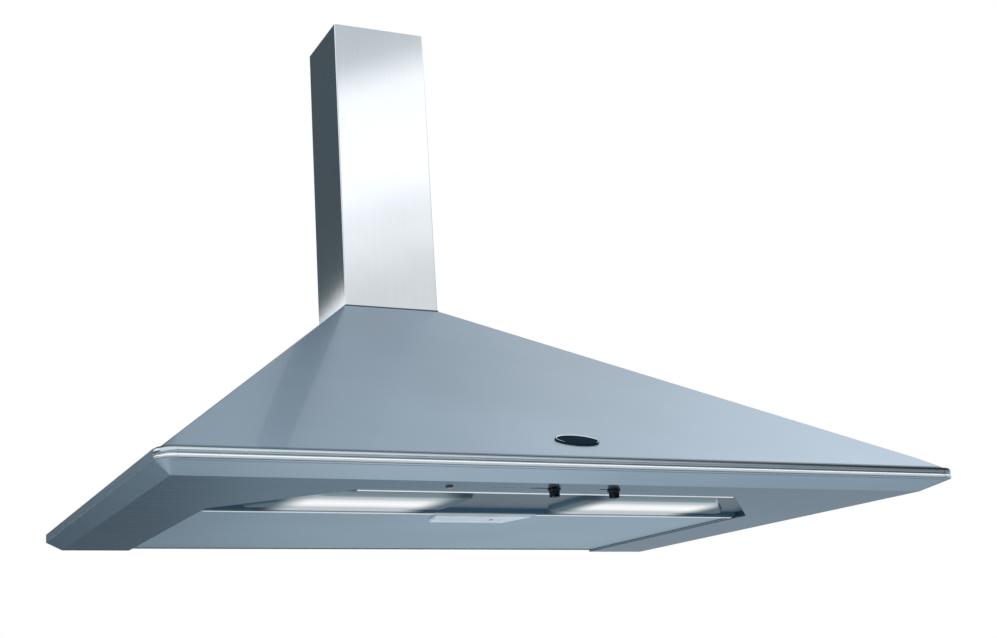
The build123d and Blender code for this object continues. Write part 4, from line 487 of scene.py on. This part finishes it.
def add_emblem_rim():
    """Bright rim round the bare oval plate."""
    inset, proud, thick = 1.1 * MM, 0.35 * MM, 0.7 * MM
    turns, sides = 64, 10
    low, high = (Vector(corner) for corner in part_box("emblem_plate"))
    span = high - low
    up = Vector((0, span.y, span.z)).normalized()
    normal = ALONG_X.cross(up)
    centre = (low + high) / 2 + normal * proud
    half_width, half_height = span.x / 2 - inset, EMBLEM_HEIGHT / 2 - inset
    work = bmesh.new()
    rings = []
    for turn in range(turns):
        angle = 2 * pi * turn / turns
        spot = centre + ALONG_X * half_width * cos(angle) + up * half_height * sin(angle)
        outward = (ALONG_X * half_height * cos(angle) + up * half_width * sin(angle)).normalized()
        rings.append(add_circle(work, spot, outward, normal, thick, sides))
    add_skin(work, rings + rings[:1], closed=())
    bright = polished("emblem_bright", (0.75, 0.79, 0.83))
    add_piece("emblem_rim", work, "hood", bright, smooth=True)


FAN_TICKS = (-87 * MM, 6.3 * MM, 4)         # first stroke, spacing and count
LIGHT_TICKS = (74 * MM, 9.7 * MM, 3)


def add_ticks():
    """Plain printed ticks beside the two slide switches, each stroke longer than the one before."""
    stroke, longest, thick, shortest = 1.1 * MM, 5.0 * MM, 0.08 * MM, 0.45
    knob_low, knob_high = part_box("fan_slider")
    middle = (knob_low[1] + knob_high[1]) / 2
    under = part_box("base_frame")[0][2]
    work = bmesh.new()
    for start, spacing, count in (FAN_TICKS, LIGHT_TICKS):
        for step in range(count):
            x = start + step * spacing
            reach = longest / 2 * (shortest + (1 - shortest) * (step + 1) / count)
            add_block(work, (x, middle - reach, under - thick), (x + stroke, middle + reach, under))
    ink = moulded("tick_ink", (0.02, 0.025, 0.03), roughness=0.5)
    add_piece("switch_ticks", work, "hood", ink)


# a side bead's outline, in mm outwards from its place beside the panel and up from the underside
SIDE_BEAD = ((-2.1, 1.5), (-1.8, 1.1), (-0.3, 1.1), (0.0, 1.4), (0.0, 3.6), (-2.1, 3.6))


def add_side_beads():
    """Slim folded bead along each side of the opening, level with the suction panel beside it."""
    beside, short = 3.0 * MM, 1.0 * MM
    panel_low, panel_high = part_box("suction_panel")
    wall = panel_high[0] + beside
    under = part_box("base_frame")[0][2]
    work = bmesh.new()
    for side in (-1, 1):
        add_skin(work, [[work.verts.new((side * (wall + x * MM), y, under + z * MM)) for x, z in SIDE_BEAD]
                        for y in (panel_low[1] + short, panel_high[1] - short)])
    steel = brushed("bead_steel", shade(PANEL_TONE, 0.85), roughness=0.34, along="Y", edge=PANEL_EDGE)
    add_piece("opening_side_beads", work, "hood", steel)


def add_chimney_seal():
    """Dark seal round the chimney's foot, where it stands on the canopy; open at the wall."""
    proud, tall, gap, lift = 0.9 * MM, 3.0 * MM, 0.02 * MM, 0.1 * MM
    low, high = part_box("lower_chimney_cover")
    foot = low[2] + lift

    def corners(out):
        """Corners round the chimney, that far outside it."""
        left, right, front, wall = low[0] - out, high[0] + out, low[1] - out, high[1]
        return (left, wall), (left, front), (right, front), (right, wall)

    work = bmesh.new()
    add_skin(work, [[work.verts.new((*spot, z)) for spot, z in
                     ((far, foot), (far, foot + tall / 2), (near, foot + tall), (near, foot))]
                    for near, far in zip(corners(gap), corners(proud))])
    dark = moulded("seal_dark", (0.06, 0.09, 0.11), roughness=0.6, gloss=0.2)
    add_piece("chimney_foot_seal", work, "hood", dark)


def add_front_beads():
    """Bright bead along the suction panel's front edge, open where the latch is."""
    radius, clear, short, sides = 0.9 * MM, 4.0 * MM, 1.0 * MM, 12
    behind, above = 0.1 * MM, 0.35 * MM             # from the panel's lower front edge to the bead's middle
    panel_low, panel_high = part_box("suction_panel")
    latch_low, latch_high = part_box("panel_latch")
    y, z = panel_low[1] + behind, panel_low[2] + above
    work = bmesh.new()
    for start, stop in ((panel_low[0] + short, latch_low[0] - clear),
                        (latch_high[0] + clear, panel_high[0] - short)):
        add_skin(work, [add_circle(work, Vector((x, y, z)), ALONG_Y, ALONG_Z, thick, sides)
                        for x, thick in ((start, radius / 2), (start + radius, radius),
                                         (stop - radius, radius), (stop, radius / 2))])
    bright = polished("bead_bright", (0.92, 0.95, 0.98), roughness=0.2)
    add_piece("panel_front_beads", work, "panel", bright)


LATCH_SCREW = ((0.55, -0.75), (1.0, -0.70), (1.7, -0.50), (2.1, -0.12), (2.1, 0.25))  # radius and height, mm


def add_latch_screw():
    """Small domed screw in the latch's face, with a dark drive recess."""
    along, pit_depth, sides = 0.66, 0.30 * MM, 24
    low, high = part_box("panel_latch")
    centre = Vector((low[0] + along * (high[0] - low[0]), (low[1] + high[1]) / 2, low[2]))
    work = bmesh.new()
    rings = [add_circle(work, centre + ALONG_Z * height * MM, ALONG_X, ALONG_Y, radius * MM, sides)
             for radius, height in LATCH_SCREW]
    pit = work.verts.new(centre - ALONG_Z * pit_depth)
    for side in range(sides):
        work.faces.new((pit, rings[0][side], rings[0][(side + 1) % sides]))
    add_skin(work, rings, closed=(-1,))
    dark = polished("latch_screw_dark", (0.10, 0.13, 0.16), roughness=0.3)
    add_piece("latch_screw", work, "latch", dark)


# ---- studio ----
FLOOR_AT = (0, -0.3, -1.35)
FLOOR_RADIUS = 3.2
FLOOR_FADE = (0.35, 0.97)       # where it turns white, as shares of the radius


def floor_paint(name):
    """Pale floor that fades into the white background, and can't be seen from below."""
    material, graph = new_material(name)
    tint = graph.two_tone(graph.noise((8, 8, 8)), (0.72, 0.73, 0.74), (0.76, 0.77, 0.78))
    pale = graph.surface(Base_Color=tint, Roughness=0.8)
    reach = graph.add("VectorMath", operation="LENGTH", Vector=graph.coordinates()).outputs["Value"]
    fade = graph.ranged(reach, *(share * FLOOR_RADIUS for share in FLOOR_FADE))
    seen = graph.math("MULTIPLY", fade, graph.add("LightPath").outputs["Is Camera Ray"])
    faded = graph.mix_shader(seen, pale.outputs["BSDF"], graph.add("Emission").outputs["Emission"])
    clear = graph.add("BsdfTransparent").outputs["BSDF"]
    one_sided = graph.mix_shader(graph.add("NewGeometry").outputs["Backfacing"], faded, clear)
    graph.put(graph.nodes["Material Output"].inputs["Surface"], one_sided)
    return material


def add_floor():
    """Round floor below the hood."""
    work = bmesh.new()
    bmesh.ops.create_circle(work, cap_ends=True, segments=96, radius=FLOOR_RADIUS)
    mesh = mesh_from("floor", work)
    mesh.materials.append(floor_paint("floor_pale"))
    floor = bpy.data.objects.new("floor", mesh)
    floor.location = FLOOR_AT
    floor.visible_glossy = False
    scene.collection.objects.link(floor)


# what polished steel mirrors of the studio, as (place along one axis of the direction, brightness):
# towards the wall overhead, level and underfoot, by x, and away from the wall, by height
BACK_HIGH = ((-0.40, 0.60), (0.20, 0.70), (0.40, 0.82), (0.50, 1.12), (0.70, 1.80))
BACK_LOW = ((-0.40, 0.11), (0.15, 0.12), (0.20, 0.18), (0.32, 0.60), (0.60, 0.80))
BELOW = ((0.00, 0.90), (0.12, 1.15), (0.19, 0.74), (0.25, 0.74), (0.32, 1.02), (0.39, 1.30), (0.60, 1.05))
AHEAD = ((-0.50, 0.70), (0.10, 0.40), (0.20, 0.75), (0.28, 1.00), (0.33, 1.30), (0.37, 1.66), (0.42, 1.52),
         (0.45, 0.84), (0.50, 0.78), (0.70, 1.05))
AHEAD_TILT = 0.25               # the bright band ahead rises to the right
AHEAD_PIVOT = 0.365             # and keeps its height at this x
LOW_EDGE = (-0.34, -0.20)       # soft edges between those parts, by height
HIGH_EDGE = (0.46, 0.60)
WALL_EDGE = (-0.2, 0.2)         # and by y
HIGH_LEAN = 0.3                 # overhead it grows brighter upwards, along a line that leans with x
HIGH_RISE, HIGH_GAIN = (0.77, 0.85), (0.76, 1.12)

# a bright card low on the left, which the foot of the chimney's left face mirrors
CARD_BRIGHT = 1.4
CARD_LEAN = 1.3                 # its upper edge leans with x
CARD_PIVOT = 0.328
CARD_TOP = (0.263 - CARD_PIVOT * CARD_LEAN, 0.268 - CARD_PIVOT * CARD_LEAN)
CARD_BOTTOM = (0.19, 0.22)
CARD_RIGHT = (-0.29, -0.25)

BRIGHTEST = 1.85
COOL_SHADE = 0.28               # the darker it is, the bluer
PLAIN_LEVEL = 0.9               # the even light that falls on paint and plastic


def studio_tone(bright):
    """Colour of a part of the studio, as a share of the brightest."""
    cool = COOL_SHADE * max(0, 1 - bright)
    return [part * bright / BRIGHTEST for part in (1 - cool, 1, 1 + cool / 2)]


def studio_ramp(graph, value, stops):
    """Tones of the studio along one axis of the direction, -1 to 1."""
    tones = [((at + 1) / 2, studio_tone(bright)) for at, bright in stops]
    return graph.ramp(graph.ranged(value, -1, 1), tones)


def with_card(graph, x, z, level):
    """Adds the bright card to what lies level behind."""
    card = (*studio_tone(CARD_BRIGHT), 1)
    upper = graph.crossfade(graph.math("MULTIPLY_ADD", x, CARD_LEAN, z), *CARD_TOP, card, level)
    lower = graph.crossfade(z, *CARD_BOTTOM, level, upper)
    return graph.crossfade(x, *CARD_RIGHT, lower, level)


def studio_behind(graph, x, z):
    """What steel mirrors of the studio towards the wall."""
    level = graph.crossfade(z, *LOW_EDGE, studio_ramp(graph, x, BELOW), studio_ramp(graph, x, BACK_LOW))
    rise = graph.ranged(graph.math("MULTIPLY_ADD", x, HIGH_LEAN, z), *HIGH_RISE, HIGH_GAIN)
    overhead = graph.product(studio_ramp(graph, x, BACK_HIGH), rise)
    return graph.crossfade(z, *HIGH_EDGE, with_card(graph, x, z, level), overhead)


def studio_ahead(graph, x, z):
    """What steel mirrors of the studio away from the wall."""
    raised = graph.math("ADD", z, AHEAD_TILT * AHEAD_PIVOT)
    return studio_ramp(graph, graph.math("MULTIPLY_ADD", x, -AHEAD_TILT, raised), AHEAD)


def add_world():
    """White behind the object, even light for paint, and a studio of soft dark and bright parts for metal."""
    world = bpy.data.worlds.new("studio")
    scene.world = world
    world.use_nodes = True
    world.cycles.sampling_method = "NONE"
    world.node_tree.nodes.clear()
    graph = Graph(world.node_tree)
    split = graph.add("SeparateXYZ", Vector=graph.add("TexCoord").outputs["Generated"])
    x, y, z = (split.outputs[axis] for axis in "XYZ")
    studio = graph.crossfade(y, *WALL_EDGE, studio_ahead(graph, x, z), studio_behind(graph, x, z))
    glossy = graph.add("Background", Color=studio, Strength=BRIGHTEST).outputs["Background"]
    plain = graph.add("Background", Color=(*shade(WHITE, PLAIN_LEVEL), 1)).outputs["Background"]
    white = graph.add("Background", Color=(*WHITE, 1)).outputs["Background"]
    path = graph.add("LightPath").outputs
    clear = graph.math("MAXIMUM", path["Is Camera Ray"], path["Is Transmission Ray"])
    lit = graph.mix_shader(path["Is Glossy Ray"], plain, glossy)
    graph.add("OutputWorld", Surface=graph.mix_shader(clear, lit, white))


SOFTBOX_AT = Vector((1.3, -2.6, 1.25))
SOFTBOX_AIM = Vector((0, -0.1, 0.3))
SOFTBOX_SIZE = (1.6, 0.7)
SOFTBOX_WATTS = 3


def add_softbox():
    """Broad weak light ahead to the right, which metal doesn't mirror."""
    data = bpy.data.lights.new("chimney_box", "AREA")
    data.shape = "RECTANGLE"
    data.size, data.size_y = SOFTBOX_SIZE
    data.energy = SOFTBOX_WATTS
    softbox = bpy.data.objects.new("chimney_box", data)
    softbox.location = SOFTBOX_AT
    softbox.rotation_euler = (SOFTBOX_AIM - SOFTBOX_AT).to_track_quat("-Z", "Y").to_euler()
    softbox.visible_camera = False
    softbox.visible_glossy = False
    scene.collection.objects.link(softbox)


add_camera()
add_world()
add_floor()
add_softbox()
paint_outside()
paint_lamps()
paint_controls()
paint_inside()
add_emblem_rim()
add_ticks()
add_side_beads()
add_chimney_seal()
add_front_beads()
add_latch_screw()
scene.view_settings.view_transform = "Standard"
